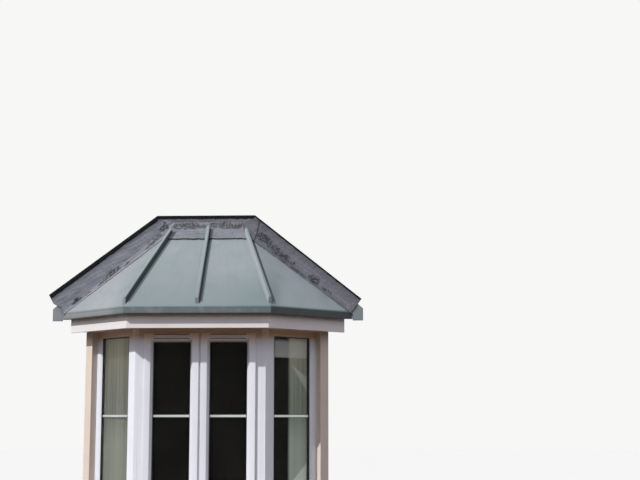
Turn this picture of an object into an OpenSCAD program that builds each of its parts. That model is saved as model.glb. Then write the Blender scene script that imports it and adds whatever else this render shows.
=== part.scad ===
// Splayed bay window with a rendered dwarf wall, white plastic frames and a moulded canopy.
// The front looks along -Y, the room is on the +Y side and Z is up from the ground.
// Plan lines are pairs [half width at the house wall, projection from the house wall].

/* [Plan] */
// Angle between the house wall and each side of the bay, in degrees
splay_angle = 45; // [40:1:50]
// Half width of the rendered bay where it meets the house wall
masonry_half_width = 1040; // [1000:5:1120]
// Distance from the house wall to the rendered front face
masonry_projection = 477; // [440:1:540]
// Thickness of the dwarf walls
wall_thickness = 265; // [220:5:300]
// Depth of the frames behind the rendered face
reveal_depth = 57; // [30:1:70]
// Face width of the rendered nib beside each side frame
nib_face_width = 93; // [80:1:120]
// How far the render laps over the side frames
render_lap = 5; // [3:1:12]

/* [Heights] */
// Height of the plinth under the render
plinth_height = 150; // [100:5:200]
// Height of the floor inside the bay above the ground
floor_height = 150; // [100:5:200]
// Height of the rendered wall under the stone course
dwarf_wall_height = 740; // [600:5:900]
// Height of the cast stone course
stone_height = 150; // [120:5:170]
// Height of the window frames
window_height = 1428; // [1300:2:1500]

/* [Masonry details] */
// Setback of the plinth behind the rendered face
plinth_setback = 12; // [8:1:20]
// Flare of the render at its lower edge
bell_flare = 10; // [6:1:16]
// Height over which the render flares out
bell_height = 45; // [30:1:60]
// Depth of the cast stone from front to back
stone_depth = 140; // [120:5:150]
// Projection of the cast stone beyond the render
stone_projection = 10; // [5:1:20]
// Slope of the stone's top edge, measured down its face
stone_weathering = 8; // [4:1:12]

/* [Frames] */
// Depth of the window profiles from outside to inside
frame_depth = 70; // [64:1:78]
// Width of the frame and bead round a fixed light
fixed_sightline = 72; // [66:1:82]
// Face width of the outer frame round the casements
casement_frame_sightline = 56; // [50:1:64]
// Width of the casement profile inside the outer frame
sash_sightline = 61; // [55:1:70]
// Gap between each casement and the outer frame
sash_gap = 4; // [3:1:6]
// How far the casements stand out from the outer frame
sash_projection = 20; // [14:1:25]
// How far the casements lap over the outer frame, measured from the gap's inner side
sash_lap = 12; // [10:1:15]
// Half the face width of the mullion between the casements
mullion_half_face = 15.5; // [14:0.5:20]
// Width of the lip that each casement closes against
rebate_lip = 16; // [14:1:20]
// Distance between the outer faces of a frame and of its glass
glass_setback = 14; // [10:1:18]
// Thickness of the sealed glass units
glass_thickness = 28; // [24:1:32]
// Depth of the groove that holds the glass
glass_groove = 15; // [12:1:18]
// Gap between the edge of the glass and the bottom of its groove
glass_edge_gap = 3; // [2:1:5]
// Width of the sloped outside edge of the glazed profiles
frame_bevel = 20; // [14:1:24]
// Chamfer on the edges of the outer frame round the casements
edge_chamfer = 3; // [2:0.5:5]
// Slope of the glazing beads, and their thickness on the casements
bead_slope = 5; // [4:1:8]
// Gap between two frames at the inside of a corner, closed by the corner post
corner_joint = 3; // [2:0.5:8]
// How far the corner post cover stands out from the frames
post_projection = 6; // [3:1:10]

/* [Sill and board] */
// Thickness of the plastic sill under the frames
sill_height = 30; // [26:1:34]
// Overhang of the sill nose beyond the stone
sill_overhang = 22; // [15:1:35]
// Thickness of the window board inside
board_thickness = 25; // [22:1:30]
// Overhang of the window board into the room
board_nosing = 25; // [15:1:35]

/* [Head] */
// How far the frame head runs up behind the fascia
hidden_head = 17; // [12:1:26]
// Height of the fascia boards
fascia_height = 114; // [100:1:130]
// Thickness of the fascia boards
fascia_thickness = 18; // [15:1:25]
// Reach of the fascia beyond the rendered sides, along the house wall
eaves_side_reach = 136; // [120:2:150]
// Reach of the fascia beyond the rendered front
eaves_front_reach = 120; // [100:2:130]
// Height of the soffit above the lower edge of the fascia
soffit_rise = 6; // [4:1:12]
// Thickness of the soffit boards
soffit_thickness = 9; // [8:1:12]
// Width of the timber head plates over the frames
plate_width = 95; // [90:1:110]
// Thickness of the deck board under the canopy
deck_thickness = 12; // [9:1:18]
// Thickness of the ceiling board inside the bay
ceiling_thickness = 12; // [9:1:15]

/* [Canopy] */
// Slope of the canopy roof in degrees
canopy_pitch = 50.4; // [45:0.2:54]
// Height of the drip edge round the canopy
drip_height = 55; // [45:1:65]
// Overhang of the drip edge beyond the fascia
drip_overhang = 48; // [40:1:60]
// Wall thickness of the canopy moulding
shell_thickness = 6; // [5:1:8]
// Width of the canopy's flat wall flange beyond the drip edge
flange_width = 91; // [70:1:105]
// Height of the flange above the top of the roof
flange_upstand = 52; // [40:1:60]
// Height of the flange's outer corners above the drip edge
flange_corner_rise = 37; // [25:1:50]
// How far the ends of the flange hang below the drip edge
flange_drop = 12; // [5:1:20]
// Width of each roll at its foot
roll_width = 66; // [56:1:80]
// Width of each roll across its top
roll_top_width = 36; // [28:1:44]
// Height of each roll above the roof
roll_height = 38; // [30:1:46]
// Distance from the drip edge to the lower end of the rolls
roll_setback = 22; // [16:1:40]
// Distance from the house wall to the upper end of the rolls
roll_end_gap = 52; // [40:2:70]

/* [Flashing] */
// Thickness of the dressed lead
lead_thickness = 4; // [3:1:6]
// Height of the lead above the top of the roof
lead_upstand = 65; // [62:1:90]
// How far the top corners of the lead stand out beyond the top of the roof
lead_corner_reach = 93; // [80:1:110]
// Height of the lead's lower tips above the drip edge
lead_tip_rise = 145; // [120:5:190]
// How far the lower tips of the lead stand out beyond the roof
lead_tip_length = 122; // [108:2:140]
// Length of the lead that laps down the front slope
apron_length = 175; // [140:5:200]
// Length of the lead that laps onto each side slope
side_lap = 24; // [15:1:40]
// Distance from the drip edge to the lower end of the side lead
lead_end_gap = 8; // [4:1:16]
// Clearance between the lead apron and the rolls
apron_clearance = 0.5; // [0.3:0.1:1]

/* [Fittings] */
// Height of each trickle vent hood
vent_height = 14; // [12:1:18]
// Projection of each trickle vent hood
vent_projection = 11; // [8:1:14]
// Height of the middle of each hood above the glass
vent_rise = 38; // [30:1:45]
// Length of the window handles
handle_length = 125; // [110:5:140]

/* [Hidden] */
$fn = 32;

// Levels above the ground
stone_top = dwarf_wall_height + stone_height;
frame_bottom = stone_top + sill_height;
frame_top = frame_bottom + window_height;
fascia_bottom = frame_top - hidden_head;
eaves_bottom = fascia_bottom + fascia_height;
eaves_top = eaves_bottom + drip_height;

// Plan lines
function offset_line(line, out) = [line[0] + out / sin(splay_angle), line[1] + out];
function corner(line) = [line[0] - line[1] / tan(splay_angle), -line[1]];
wall_line = [masonry_half_width, masonry_projection];
frame_line = offset_line(wall_line, -reveal_depth);
frame_inner_line = offset_line(frame_line, -frame_depth);
wall_inner_line = offset_line(wall_line, -wall_thickness);
fascia_line = [masonry_half_width + eaves_side_reach, masonry_projection + eaves_front_reach];
fascia_inner_line = offset_line(fascia_line, -fascia_thickness);
drip_line = offset_line(fascia_line, drip_overhang);

// Width of the corner post on each face, from the corner
post_half_width = frame_depth * tan(splay_angle / 2) + corner_joint;

// Sizes along the side of the bay, from its corner on the frame line towards the house wall
side_length = frame_line[1] / sin(splay_angle);
nib_start = side_length - (nib_face_width - reveal_depth / tan(splay_angle));
side_frame_end = nib_start + render_lap;
side_frame_width = side_frame_end - post_half_width;
front_frame_width = 2 * (corner(frame_line)[0] - post_half_width);
casement_width = front_frame_width / 2 - casement_frame_sightline - mullion_half_face - 2 * sash_gap;
casement_height = window_height - 2 * (casement_frame_sightline + sash_gap);
casement_centre = mullion_half_face + sash_gap + casement_width / 2;
rebate_depth = glass_setback + glass_thickness + bead_slope;
// How far the mitre cuts reach past the section that they trim
cut_margin = 5;

// Roof sizes
roof_rise = drip_line[1] * tan(canopy_pitch);
roof_top = eaves_top + roof_rise;
hip_top = drip_line[0] - drip_line[1] / sin(splay_angle);
flange_half_width = drip_line[0] + flange_width;

// Furthest reach behind the house wall's face, at the back corner of a side frame
back_reach = side_frame_end * sin(splay_angle) + frame_depth * cos(splay_angle) - frame_line[1];
// The origin is at the centre of the bay's own outline on the ground
house_wall_y = (drip_line[1] - back_reach) / 2;

// Area between two plan lines along the front
module front_strip(inner, outer) {
  a = corner(outer);
  b = corner(inner);
  polygon([[-a[0], a[1]], a, b, [-b[0], b[1]]]);
}

// Area between two plan lines along the right side, ending at the house wall
module side_strip(inner, outer) {
  polygon([corner(outer), [outer[0], 0], [inner[0], 0], corner(inner)]);
}

// Area inside a plan line, in front of the house wall
module bay_area(line) {
  a = corner(line);
  polygon([[-line[0], 0], [-a[0], a[1]], a, [line[0], 0]]);
}

module slab(bottom, top) {
  translate([0, 0, bottom]) linear_extrude(top - bottom) children();
}

module left_side() {
  mirror([1, 0, 0]) children();
}

// Puts its children on the right side of the bay: X runs along the frame face from the corner
// to the house wall, and +Y points inwards
module on_side() {
  a = corner(frame_line);
  translate([a[0], a[1], 0]) rotate([0, 0, splay_angle]) children();
}

module on_front() {
  translate([0, -frame_line[1], 0]) children();
}

// A section [outward distance, height] carried along X
module run(section, length) {
  rotate([90, 0, 90]) linear_extrude(length, center = true) polygon([for (p = section) [-p[0], p[1]]]);
}

// A section carried along the front face and mitred at both corners
module front_run(section, inner, outer, bottom, top) {
  intersection() {
    on_front() run(section, 2 * (corner(outer)[0] + 10));
    slab(bottom - cut_margin, top + cut_margin)
      front_strip(offset_line(inner, -cut_margin), offset_line(outer, cut_margin));
  }
}

// The same section along the right side, mitred at the corner and cut at the house wall
module side_run(section, inner, outer, bottom, top) {
  intersection() {
    on_side() run(section, 4 * side_length);
    slab(bottom - cut_margin, top + cut_margin)
      side_strip(offset_line(inner, -cut_margin), offset_line(outer, cut_margin));
  }
}

// Masonry

// Section of the dwarf wall, measured from the frame face: plinth, flared render and outer leaf,
// with the inner leaf standing up behind the stone course
function wall_section() = [
  [reveal_depth - plinth_setback, 0],
  [reveal_depth - plinth_setback, plinth_height],
  [reveal_depth + bell_flare, plinth_height],
  [reveal_depth + bell_flare, plinth_height + 6],
  [reveal_depth, plinth_height + bell_height],
  [reveal_depth, dwarf_wall_height],
  [reveal_depth - stone_depth, dwarf_wall_height],
  [reveal_depth - stone_depth, stone_top],
  [reveal_depth - wall_thickness, stone_top],
  [reveal_depth - wall_thickness, 0]
];

module dwarf_wall_front() {
  color("antiquewhite")
    front_run(wall_section(), wall_inner_line, offset_line(wall_line, bell_flare), 0, stone_top);
}

module dwarf_wall_side() {
  color("antiquewhite")
    side_run(wall_section(), wall_inner_line, offset_line(wall_line, bell_flare), 0, stone_top);
}

module floor_slab() {
  color("gainsboro") slab(0, floor_height) bay_area(wall_inner_line);
}

// Rendered return between the side frame and the house wall, standing on the stone course
module nib() {
  color("bisque") intersection() {
    on_side() translate([nib_start, -reveal_depth, stone_top])
      cube([nib_face_width + wall_thickness, reveal_depth, fascia_bottom + soffit_rise - stone_top]);
    slab(stone_top, frame_top) bay_area(wall_line);
  }
}

// Stone course, with a sloped upper front edge
function stone_section() = [
  [reveal_depth - stone_depth, dwarf_wall_height],
  [reveal_depth + stone_projection, dwarf_wall_height],
  [reveal_depth + stone_projection, stone_top - stone_weathering],
  [reveal_depth, stone_top],
  [reveal_depth - stone_depth, stone_top]
];

stone_back_line = offset_line(wall_line, -stone_depth);
stone_front_line = offset_line(wall_line, stone_projection);

module stone_course_front() {
  color("wheat") front_run(stone_section(), stone_back_line, stone_front_line, dwarf_wall_height, stone_top);
}

module stone_course_side() {
  color("wheat") side_run(stone_section(), stone_back_line, stone_front_line, dwarf_wall_height, stone_top);
}

// Plastic sill under the frames, with a drooping nose

sill_reach = reveal_depth + stone_projection + sill_overhang;
sill_front_line = offset_line(frame_line, sill_reach);

function sill_section() = [
  [-frame_depth, stone_top],
  [sill_reach - 12, stone_top],
  [sill_reach - 9, stone_top - 8],
  [sill_reach - 2, stone_top - 8],
  [sill_reach, stone_top - 5],
  [sill_reach, stone_top + 13],
  [sill_reach - 4, stone_top + 18],
  [6, frame_bottom - 4],
  [0, frame_bottom],
  [-frame_depth, frame_bottom]
];

module sill_front() {
  color("white") front_run(sill_section(), frame_inner_line, sill_front_line, stone_top - 8, frame_bottom);
}

// The side sills stop against the rendered nib
module sill_side() {
  color("white") difference() {
    side_run(sill_section(), frame_inner_line, sill_front_line, stone_top - 8, frame_bottom);
    on_side() translate([nib_start, -reveal_depth, stone_top - 1])
      cube([nib_face_width + wall_thickness, reveal_depth, sill_height + 2]);
  }
}

// Window frames

// Path across an opening, from a section [inset, depth] on one edge to the same section on the other
function across_opening(section, size) = concat(
  [[-cut_margin, section[0][0]]], [for (p = section) [p[1], p[0]]],
  [[frame_depth + cut_margin, section[len(section) - 1][0]]],
  [[frame_depth + cut_margin, size - section[len(section) - 1][0]]],
  [for (step = [1 : len(section)]) let (p = section[len(section) - step]) [p[1], size - p[0]]],
  [[-cut_margin, size - section[0][0]]]
);

// Opening with the same section on its four edges, so that the edges meet in mitres. It stands
// on Z = 0, is centred on X and runs in along +Y.
module mitred_opening(width, height, section) {
  intersection() {
    rotate([90, 0, 90]) linear_extrude(width + 2 * frame_depth, center = true)
      polygon(across_opening(section, height));
    translate([-width / 2, 0, -frame_depth]) linear_extrude(height + 2 * frame_depth)
      polygon([for (p = across_opening(section, width)) [p[1], p[0]]]);
  }
}

// Four mitred profiles, welded into one frame
module welded_frame(width, height, depth, section) {
  difference() {
    translate([-width / 2, 0, 0]) cube([width, depth, height]);
    mitred_opening(width, height, section);
  }
}

// Inner edge of a profile that holds glass: sloped outside edge, glazing groove and inside bead
function glazed_section(width, depth, glass_front) = [
  [width - frame_bevel, 0],
  [width, glass_front],
  [width - glass_groove, glass_front],
  [width - glass_groove, glass_front + glass_thickness],
  [width, glass_front + glass_thickness],
  [width - bead_slope, depth]
];

// Edge of the outer frame that a casement closes into: a chamfered front edge and a lip behind
function rebated_section() = [
  [-edge_chamfer, 0],
  [0, edge_chamfer],
  [0, rebate_depth],
  [rebate_lip, rebate_depth],
  [rebate_lip, frame_depth]
];

module frame_front() {
  light_width = casement_width + 2 * sash_gap;
  light_height = casement_height + 2 * sash_gap;
  color("white") on_front() translate([0, 0, frame_bottom]) difference() {
    translate([-front_frame_width / 2, 0, 0]) cube([front_frame_width, frame_depth, window_height]);
    for (side = [-1, 1])
      translate([side * casement_centre, 0, casement_frame_sightline])
        mitred_opening(light_width, light_height, rebated_section());
  }
}

module in_side_opening() {
  on_side() translate([post_half_width + side_frame_width / 2, 0, frame_bottom]) children();
}

module frame_side() {
  section = glazed_section(fixed_sightline, frame_depth, glass_setback);
  color("white") in_side_opening() welded_frame(side_frame_width, window_height, frame_depth, section);
}

module in_casement() {
  on_front() translate([casement_centre, 0, frame_bottom + casement_frame_sightline + sash_gap]) children();
}

// Welded casement whose outer part stands in front of the outer frame and laps over its face
module casement() {
  depth = sash_projection + rebate_depth;
  section = glazed_section(sash_sightline, depth, sash_projection + glass_setback);
  color("white") in_casement() translate([0, -sash_projection, 0]) difference() {
    union() {
      translate([-casement_width / 2, 0, 0]) cube([casement_width, depth, casement_height]);
      translate([-casement_width / 2 - sash_lap, 0, -sash_lap])
        cube([casement_width + 2 * sash_lap, sash_projection, casement_height + 2 * sash_lap]);
    }
    mitred_opening(casement_width, casement_height, section);
  }
}

// Sealed glass unit held in the groove of a frame
module glass_unit(width, height, sightline) {
  edge = sightline - glass_groove + glass_edge_gap;
  color("slategray", 0.6) translate([edge - width / 2, glass_setback, edge])
    cube([width - 2 * edge, glass_thickness, height - 2 * edge]);
}

module glass_side() {
  in_side_opening() glass_unit(side_frame_width, window_height, fixed_sightline);
}

module glass_casement() {
  in_casement() glass_unit(casement_width, casement_height, sash_sightline);
}

// Corner post between the front and side frames, with a rounded outer edge
module corner_post() {
  radius = 14;
  face = offset_line(frame_line, post_projection);
  centre = corner(offset_line(face, -radius));
  front_edge = corner(frame_line)[0] - post_half_width;
  inner = corner(frame_inner_line);
  nose = [for (step = [0:4]) centre + radius * [cos(splay_angle * step / 4 - 90), sin(splay_angle * step / 4 - 90)]];
  along = [cos(splay_angle), sin(splay_angle)];
  inward = [-sin(splay_angle), cos(splay_angle)];
  side_edge = corner(frame_line) + post_half_width * along;
  color("white") slab(frame_bottom, frame_top) polygon(concat(
    [[front_edge, -frame_inner_line[1]], [front_edge, -face[1]]], nose,
    [side_edge - post_projection * inward, side_edge + frame_depth * inward], [inner]));
}

// Hood over the vent slot in the casement's top rail
module trickle_vent() {
  length = casement_width - 2 * sash_sightline;
  hood_middle = casement_height - sash_sightline + vent_rise;
  color("white") in_casement() translate([-length / 2, -sash_projection, hood_middle]) rotate([90, 0, 90])
    linear_extrude(length) polygon([[0, -vent_height / 2], [-vent_projection, -vent_height / 2],
      [-vent_projection, -vent_height / 2 + 4], [-3, vent_height / 2], [0, vent_height / 2]]);
}

// Handle on the inside of the casement's meeting stile
module handle() {
  plate = [26, 10, 60];
  stile_centre = sash_sightline / 2 - casement_width / 2;
  handle_height = casement_height / 2 - 60;
  color("white") in_casement() translate([stile_centre, rebate_depth, handle_height]) {
    translate([-plate[0] / 2, 0, 0]) cube(plate);
    translate([0, plate[1], plate[2] / 2]) rotate([-90, 0, 0]) cylinder(d = 18, h = 24);
    translate([-9, plate[1] + 24, plate[2] / 2 - 9]) cube([18, 12, handle_length]);
  }
}

// Inside boards

module window_board() {
  nose = offset_line(wall_inner_line, -board_nosing);
  color("white") difference() {
    slab(stone_top, stone_top + board_thickness) bay_area(frame_inner_line);
    slab(stone_top - 1, stone_top + board_thickness + 1) offset_bay(nose);
  }
}

// Area inside a plan line, run on behind the house wall
module offset_bay(line) {
  a = corner(line);
  polygon([[-line[0], 0], [-a[0], a[1]], a, [line[0], 0], [line[0], 10], [-line[0], 10]]);
}

module ceiling_board() {
  color("whitesmoke") slab(frame_top - ceiling_thickness, frame_top) bay_area(frame_inner_line);
}

// Head of the bay

plate_inner_line = offset_line(frame_line, -plate_width);
plate_top = eaves_bottom - deck_thickness;

module head_plate_front() {
  color("burlywood") slab(frame_top, plate_top) front_strip(plate_inner_line, frame_line);
}

module head_plate_side() {
  color("burlywood") slab(frame_top, plate_top) side_strip(plate_inner_line, frame_line);
}

module soffit_front() {
  bottom = fascia_bottom + soffit_rise;
  color("white") slab(bottom, bottom + soffit_thickness) front_strip(frame_line, fascia_inner_line);
}

module soffit_side() {
  bottom = fascia_bottom + soffit_rise;
  color("white") slab(bottom, bottom + soffit_thickness) side_strip(frame_line, fascia_inner_line);
}

module fascia_front() {
  color("white") slab(fascia_bottom, eaves_bottom) front_strip(fascia_inner_line, fascia_line);
}

module fascia_side() {
  color("white") slab(fascia_bottom, eaves_bottom) side_strip(fascia_inner_line, fascia_line);
}

module roof_deck() {
  color("tan") slab(plate_top, eaves_bottom) bay_area(fascia_inner_line);
}

// Canopy

// Solid under the three roof slopes, lowered by a given amount and drawn in from the drip edge
module roof_body(line, lower, base) {
  top = eaves_top + line[1] * tan(canopy_pitch) - lower;
  shoulder = eaves_top - lower;
  depth = line[1];
  back = 4 * line[0];
  section = [[0, base], [0, shoulder], [-depth, top], [-back, top], [-back, base]];
  a = corner(line);
  intersection() {
    translate([0, -line[1], 0]) run(section, 2 * line[0] + 10);
    translate([a[0], a[1], 0]) rotate([0, 0, splay_angle]) run(section, 4 * line[0]);
    left_side() translate([a[0], a[1], 0]) rotate([0, 0, splay_angle]) run(section, 4 * line[0]);
    slab(base, top + 1) bay_area(line);
  }
}

// Section of a roll: sloped sides and a rounded top
function roll_section(depth, clearance) = [
  [-roll_width / 2 - clearance, -depth],
  [-roll_width / 2 - clearance, 0],
  [-roll_top_width / 2 - clearance, roll_height - 6],
  [-roll_top_width / 2 + 6, roll_height + clearance],
  [roll_top_width / 2 - 6, roll_height + clearance],
  [roll_top_width / 2 + clearance, roll_height - 6],
  [roll_width / 2 + clearance, 0],
  [roll_width / 2 + clearance, -depth]
];

// Roll lying along +Y and rising at a slope, from a foot on the roof surface
module sloped_roll(slope, length, clearance) {
  rotate([slope, 0, 0]) rotate([90, 0, 0]) mirror([0, 0, 1]) linear_extrude(length)
    polygon(roll_section(roll_height, clearance));
}

hip_turn = splay_angle / 2;
hip_plan_length = drip_line[1] / cos(hip_turn);
hip_slope = atan(roof_rise / hip_plan_length);

// Space between the lower and upper ends of the rolls
module roll_reach() {
  difference() {
    slab(eaves_bottom, roof_top + 3 * roll_height) bay_area(offset_line(drip_line, -roll_setback));
    translate([-drip_line[0], -roll_end_gap, 0]) cube([2 * drip_line[0], roll_end_gap + 1, 2 * roof_top]);
  }
}

// Hip roll, with a clearance added round its section
module hip_roll(clearance = 0) {
  a = corner(drip_line);
  intersection() {
    translate([a[0], a[1], eaves_top]) rotate([0, 0, hip_turn])
      sloped_roll(hip_slope, 1.2 * roof_rise / sin(hip_slope), clearance);
    roll_reach();
  }
}

module centre_roll(clearance = 0) {
  intersection() {
    translate([0, -drip_line[1], eaves_top])
      sloped_roll(canopy_pitch, 1.2 * roof_rise / sin(canopy_pitch), clearance);
    roll_reach();
  }
}

// Flat flange against the house wall, following the roof's outline
module wall_flange() {
  corner_level = eaves_top + flange_corner_rise;
  foot = eaves_bottom - flange_drop;
  ear = drip_line[0] + 2;
  // Both outer edges run parallel to the roof's edge on the wall
  top = flange_half_width - (roof_rise + flange_upstand - flange_corner_rise) * (drip_line[0] - hip_top) / roof_rise;
  rotate([90, 0, 0]) linear_extrude(shell_thickness) polygon([
    [-flange_half_width, foot], [-ear, foot], [-ear, eaves_bottom], [ear, eaves_bottom], [ear, foot],
    [flange_half_width, foot], [flange_half_width, corner_level], [top, roof_top + flange_upstand],
    [-top, roof_top + flange_upstand], [-flange_half_width, corner_level]]);
}

module canopy_shell() {
  cavity_line = offset_line(drip_line, -shell_thickness);
  floor_hole = offset_line(fascia_inner_line, -40);
  color("darkseagreen") difference() {
    union() {
      roof_body(drip_line, 0, eaves_bottom);
      hip_roll();
      left_side() hip_roll();
      centre_roll();
      wall_flange();
    }
    roof_body(cavity_line, shell_thickness / cos(canopy_pitch), eaves_bottom + shell_thickness);
    slab(eaves_bottom - 1, eaves_bottom + shell_thickness + 1) bay_area(floor_hole);
    translate([0, 0, eaves_bottom + shell_thickness]) cavity_mouth(cavity_line);
  }
}

// Opening of the canopy towards the house wall
module cavity_mouth(line) {
  height = line[1] * tan(canopy_pitch) + drip_height - shell_thickness - shell_thickness / cos(canopy_pitch);
  foot = drip_height - shell_thickness - shell_thickness / cos(canopy_pitch);
  peak = line[0] - line[1] / sin(splay_angle);
  translate([0, 1, 0]) rotate([90, 0, 0]) linear_extrude(shell_thickness + 2)
    polygon([[-line[0], 0], [line[0], 0], [line[0], foot], [peak, height], [-peak, height], [-line[0], foot]]);
}

// Lead flashing

lead_top = roof_top + lead_upstand;
// How far the wall strips run down before they are cut to the slopes
lead_foot = 2 * (shell_thickness + lead_thickness);
lead_corner = hip_top + lead_corner_reach;

// Lead lying on the roof slopes above a given area of the plan
module lead_on_roof() {
  intersection() {
    roof_body(drip_line, -lead_thickness / cos(canopy_pitch), eaves_bottom);
    slab(eaves_top - cut_margin, lead_top) children();
  }
}

// Lead standing against the canopy's wall flange
module lead_on_wall() {
  translate([0, -shell_thickness, 0]) rotate([90, 0, 0]) linear_extrude(lead_thickness) children();
}

// Cuts away what lies inside the canopy's slopes
module above_roof() {
  difference() {
    union() children();
    roof_body(drip_line, 0, eaves_bottom - cut_margin);
  }
}

module flashing_top() {
  apron_depth = apron_length * cos(canopy_pitch);
  apron_half_width = hip_top + apron_depth * tan(hip_turn);
  foot = roof_top - lead_foot;
  color("slategray") difference() {
    above_roof() {
      lead_on_wall() polygon([[-hip_top, foot], [hip_top, foot], [hip_top, roof_top],
        [lead_corner, lead_top], [-lead_corner, lead_top], [-hip_top, roof_top]]);
      lead_on_roof() polygon([[-apron_half_width, -apron_depth], [apron_half_width, -apron_depth],
        [hip_top, -shell_thickness - 1], [-hip_top, -shell_thickness - 1]]);
    }
    hip_roll(apron_clearance);
    left_side() hip_roll(apron_clearance);
    centre_roll(apron_clearance);
  }
}

module flashing_side() {
  drip_end = drip_line[0] - lead_end_gap;
  color("slategray") above_roof() {
    lead_on_wall() polygon([[hip_top, roof_top], [hip_top, roof_top - lead_foot],
      [drip_end - lead_foot, eaves_top], [drip_end, eaves_top + 2],
      [drip_end + lead_tip_length, eaves_top + lead_tip_rise], [lead_corner, lead_top]]);
    lead_on_roof() polygon([[hip_top, -shell_thickness - 1], [hip_top + side_lap * tan(hip_turn), -side_lap],
      [drip_end - side_lap / tan(splay_angle), -side_lap],
      [drip_end - (shell_thickness + 1) / tan(splay_angle), -shell_thickness - 1]]);
  }
}

// Stands the bay with the centre of its outline over the origin
module in_place() {
  translate([0, house_wall_y, 0]) children();
}

in_place() floor_slab();
in_place() dwarf_wall_front();
in_place() left_side() dwarf_wall_side();  // dwarf_wall_left
in_place() dwarf_wall_side();  // dwarf_wall_right
in_place() left_side() nib();  // nib_left
in_place() nib();  // nib_right
in_place() stone_course_front();
in_place() left_side() stone_course_side();  // stone_course_left
in_place() stone_course_side();  // stone_course_right
in_place() sill_front();
in_place() left_side() sill_side();  // sill_left
in_place() sill_side();  // sill_right
in_place() frame_front();
in_place() left_side() frame_side();  // frame_left
in_place() frame_side();  // frame_right
in_place() left_side() casement();  // casement_left
in_place() casement();  // casement_right
in_place() left_side() glass_casement();  // glass_casement_left
in_place() glass_casement();  // glass_casement_right
in_place() left_side() glass_side();  // glass_side_left
in_place() glass_side();  // glass_side_right
in_place() left_side() corner_post();  // corner_post_left
in_place() corner_post();  // corner_post_right
in_place() left_side() trickle_vent();  // trickle_vent_left
in_place() trickle_vent();  // trickle_vent_right
in_place() left_side() handle();  // handle_left
in_place() handle();  // handle_right
in_place() window_board();
in_place() ceiling_board();
in_place() head_plate_front();
in_place() left_side() head_plate_side();  // head_plate_left
in_place() head_plate_side();  // head_plate_right
in_place() soffit_front();
in_place() left_side() soffit_side();  // soffit_left
in_place() soffit_side();  // soffit_right
in_place() fascia_front();
in_place() left_side() fascia_side();  // fascia_left
in_place() fascia_side();  // fascia_right
in_place() roof_deck();
in_place() canopy_shell();
in_place() flashing_top();
in_place() left_side() flashing_side();  // flashing_left
in_place() flashing_side();  // flashing_right
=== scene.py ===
"""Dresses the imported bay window: a moulded canopy, dressed lead, plastic frames with sealed glass
units, a cast stone course and a rendered dwarf wall, lit softly and seen as in the photograph.

All lengths are in metres. +X is to the right seen from the street, -Y points to the street, and the
plan line of a face is a pair: its half width at the house wall and its reach out from that wall.
"""

import logging
import math
from dataclasses import dataclass, field, replace
from enum import Enum
from functools import cached_property

import bmesh
import bpy
import numpy as np
from mathutils import Matrix, Vector


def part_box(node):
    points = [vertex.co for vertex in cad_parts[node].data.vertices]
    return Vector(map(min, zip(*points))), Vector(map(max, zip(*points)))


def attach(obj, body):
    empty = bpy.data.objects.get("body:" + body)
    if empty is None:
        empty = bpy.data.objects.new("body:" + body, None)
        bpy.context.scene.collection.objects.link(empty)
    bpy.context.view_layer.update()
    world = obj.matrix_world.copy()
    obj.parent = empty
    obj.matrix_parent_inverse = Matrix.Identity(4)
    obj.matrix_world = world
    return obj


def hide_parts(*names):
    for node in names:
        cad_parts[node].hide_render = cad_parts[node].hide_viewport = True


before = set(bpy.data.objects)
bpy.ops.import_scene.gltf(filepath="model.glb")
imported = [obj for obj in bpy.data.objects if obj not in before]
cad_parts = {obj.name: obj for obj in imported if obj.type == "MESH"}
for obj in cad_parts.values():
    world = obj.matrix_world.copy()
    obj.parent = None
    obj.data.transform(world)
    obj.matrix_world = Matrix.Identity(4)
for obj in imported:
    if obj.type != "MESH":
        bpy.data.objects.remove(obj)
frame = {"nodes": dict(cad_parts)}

LOG = logging.getLogger("bay_window")
BODY = "root"
HOUSE_WALL_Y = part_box("canopy_shell")[1].y
SPLAY = math.radians(45)
MITRE = math.tan(SPLAY / 2)
FLIP = np.array([-1.0, 1.0])  # mirrors a pair [half width, level or reach] to the left
ALONG = np.zeros(1)  # second coordinate of a ripple that runs along a line
Array = np.ndarray
Pair = tuple[float, float]
Line = Pair
Triple = tuple[float, float, float]
Colour = Triple
Socket = bpy.types.NodeSocket


def corner_x(line: Line) -> float:
    """Half width of the front face of a plan line."""
    return line[0] - line[1] / math.tan(SPLAY)


@dataclass(frozen=True)
class Sizes:
    """Sizes that the dressed pieces share with the solids."""

    frame: Line = (0.9593898, 0.42)
    drip: Line = (1.2438823, 0.645)
    pitch: float = math.radians(50.4)
    plinth_top: float = 0.15
    render_top: float = 0.74
    stone_top: float = 0.89
    frame_bottom: float = 0.92
    frame_top: float = 2.348
    eaves_bottom: float = 2.445
    eaves_top: float = 2.5
    shell: float = 0.006
    wall_thickness: float = 0.265
    reveal: float = 0.057
    hip_top: float = 0.289
    flange_hip: float = 0.3317142

    @property
    def roof_top(self) -> float:
        """Level where the front slope meets the house wall."""
        return self.eaves_top + self.drip[1] * math.tan(self.pitch)

    @property
    def side_share(self) -> float:
        """Plan depth of a side slope as a share of the front slope's, which is a little steeper."""
        return (self.drip[0] - self.hip_top) * math.sin(SPLAY) / self.drip[1]


SIZES = Sizes()


class Face(Enum):
    """Faces of the bay."""

    LEFT = -1
    FRONT = 0
    RIGHT = 1


def stack(*parts: Array) -> Array:
    """Stretches arrays to one shape and lays them side by side along a new last axis."""
    return np.stack(np.broadcast_arrays(*parts), -1)


def path_lengths(points: Array, axis: int = 0) -> Array:
    """Distance run from the first point to each point along an axis; the last axis is the place."""
    steps = np.diff(points, axis=axis, prepend=np.take(points, [0], axis))
    return np.cumsum(np.linalg.norm(steps, axis=-1), axis=axis)


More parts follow.
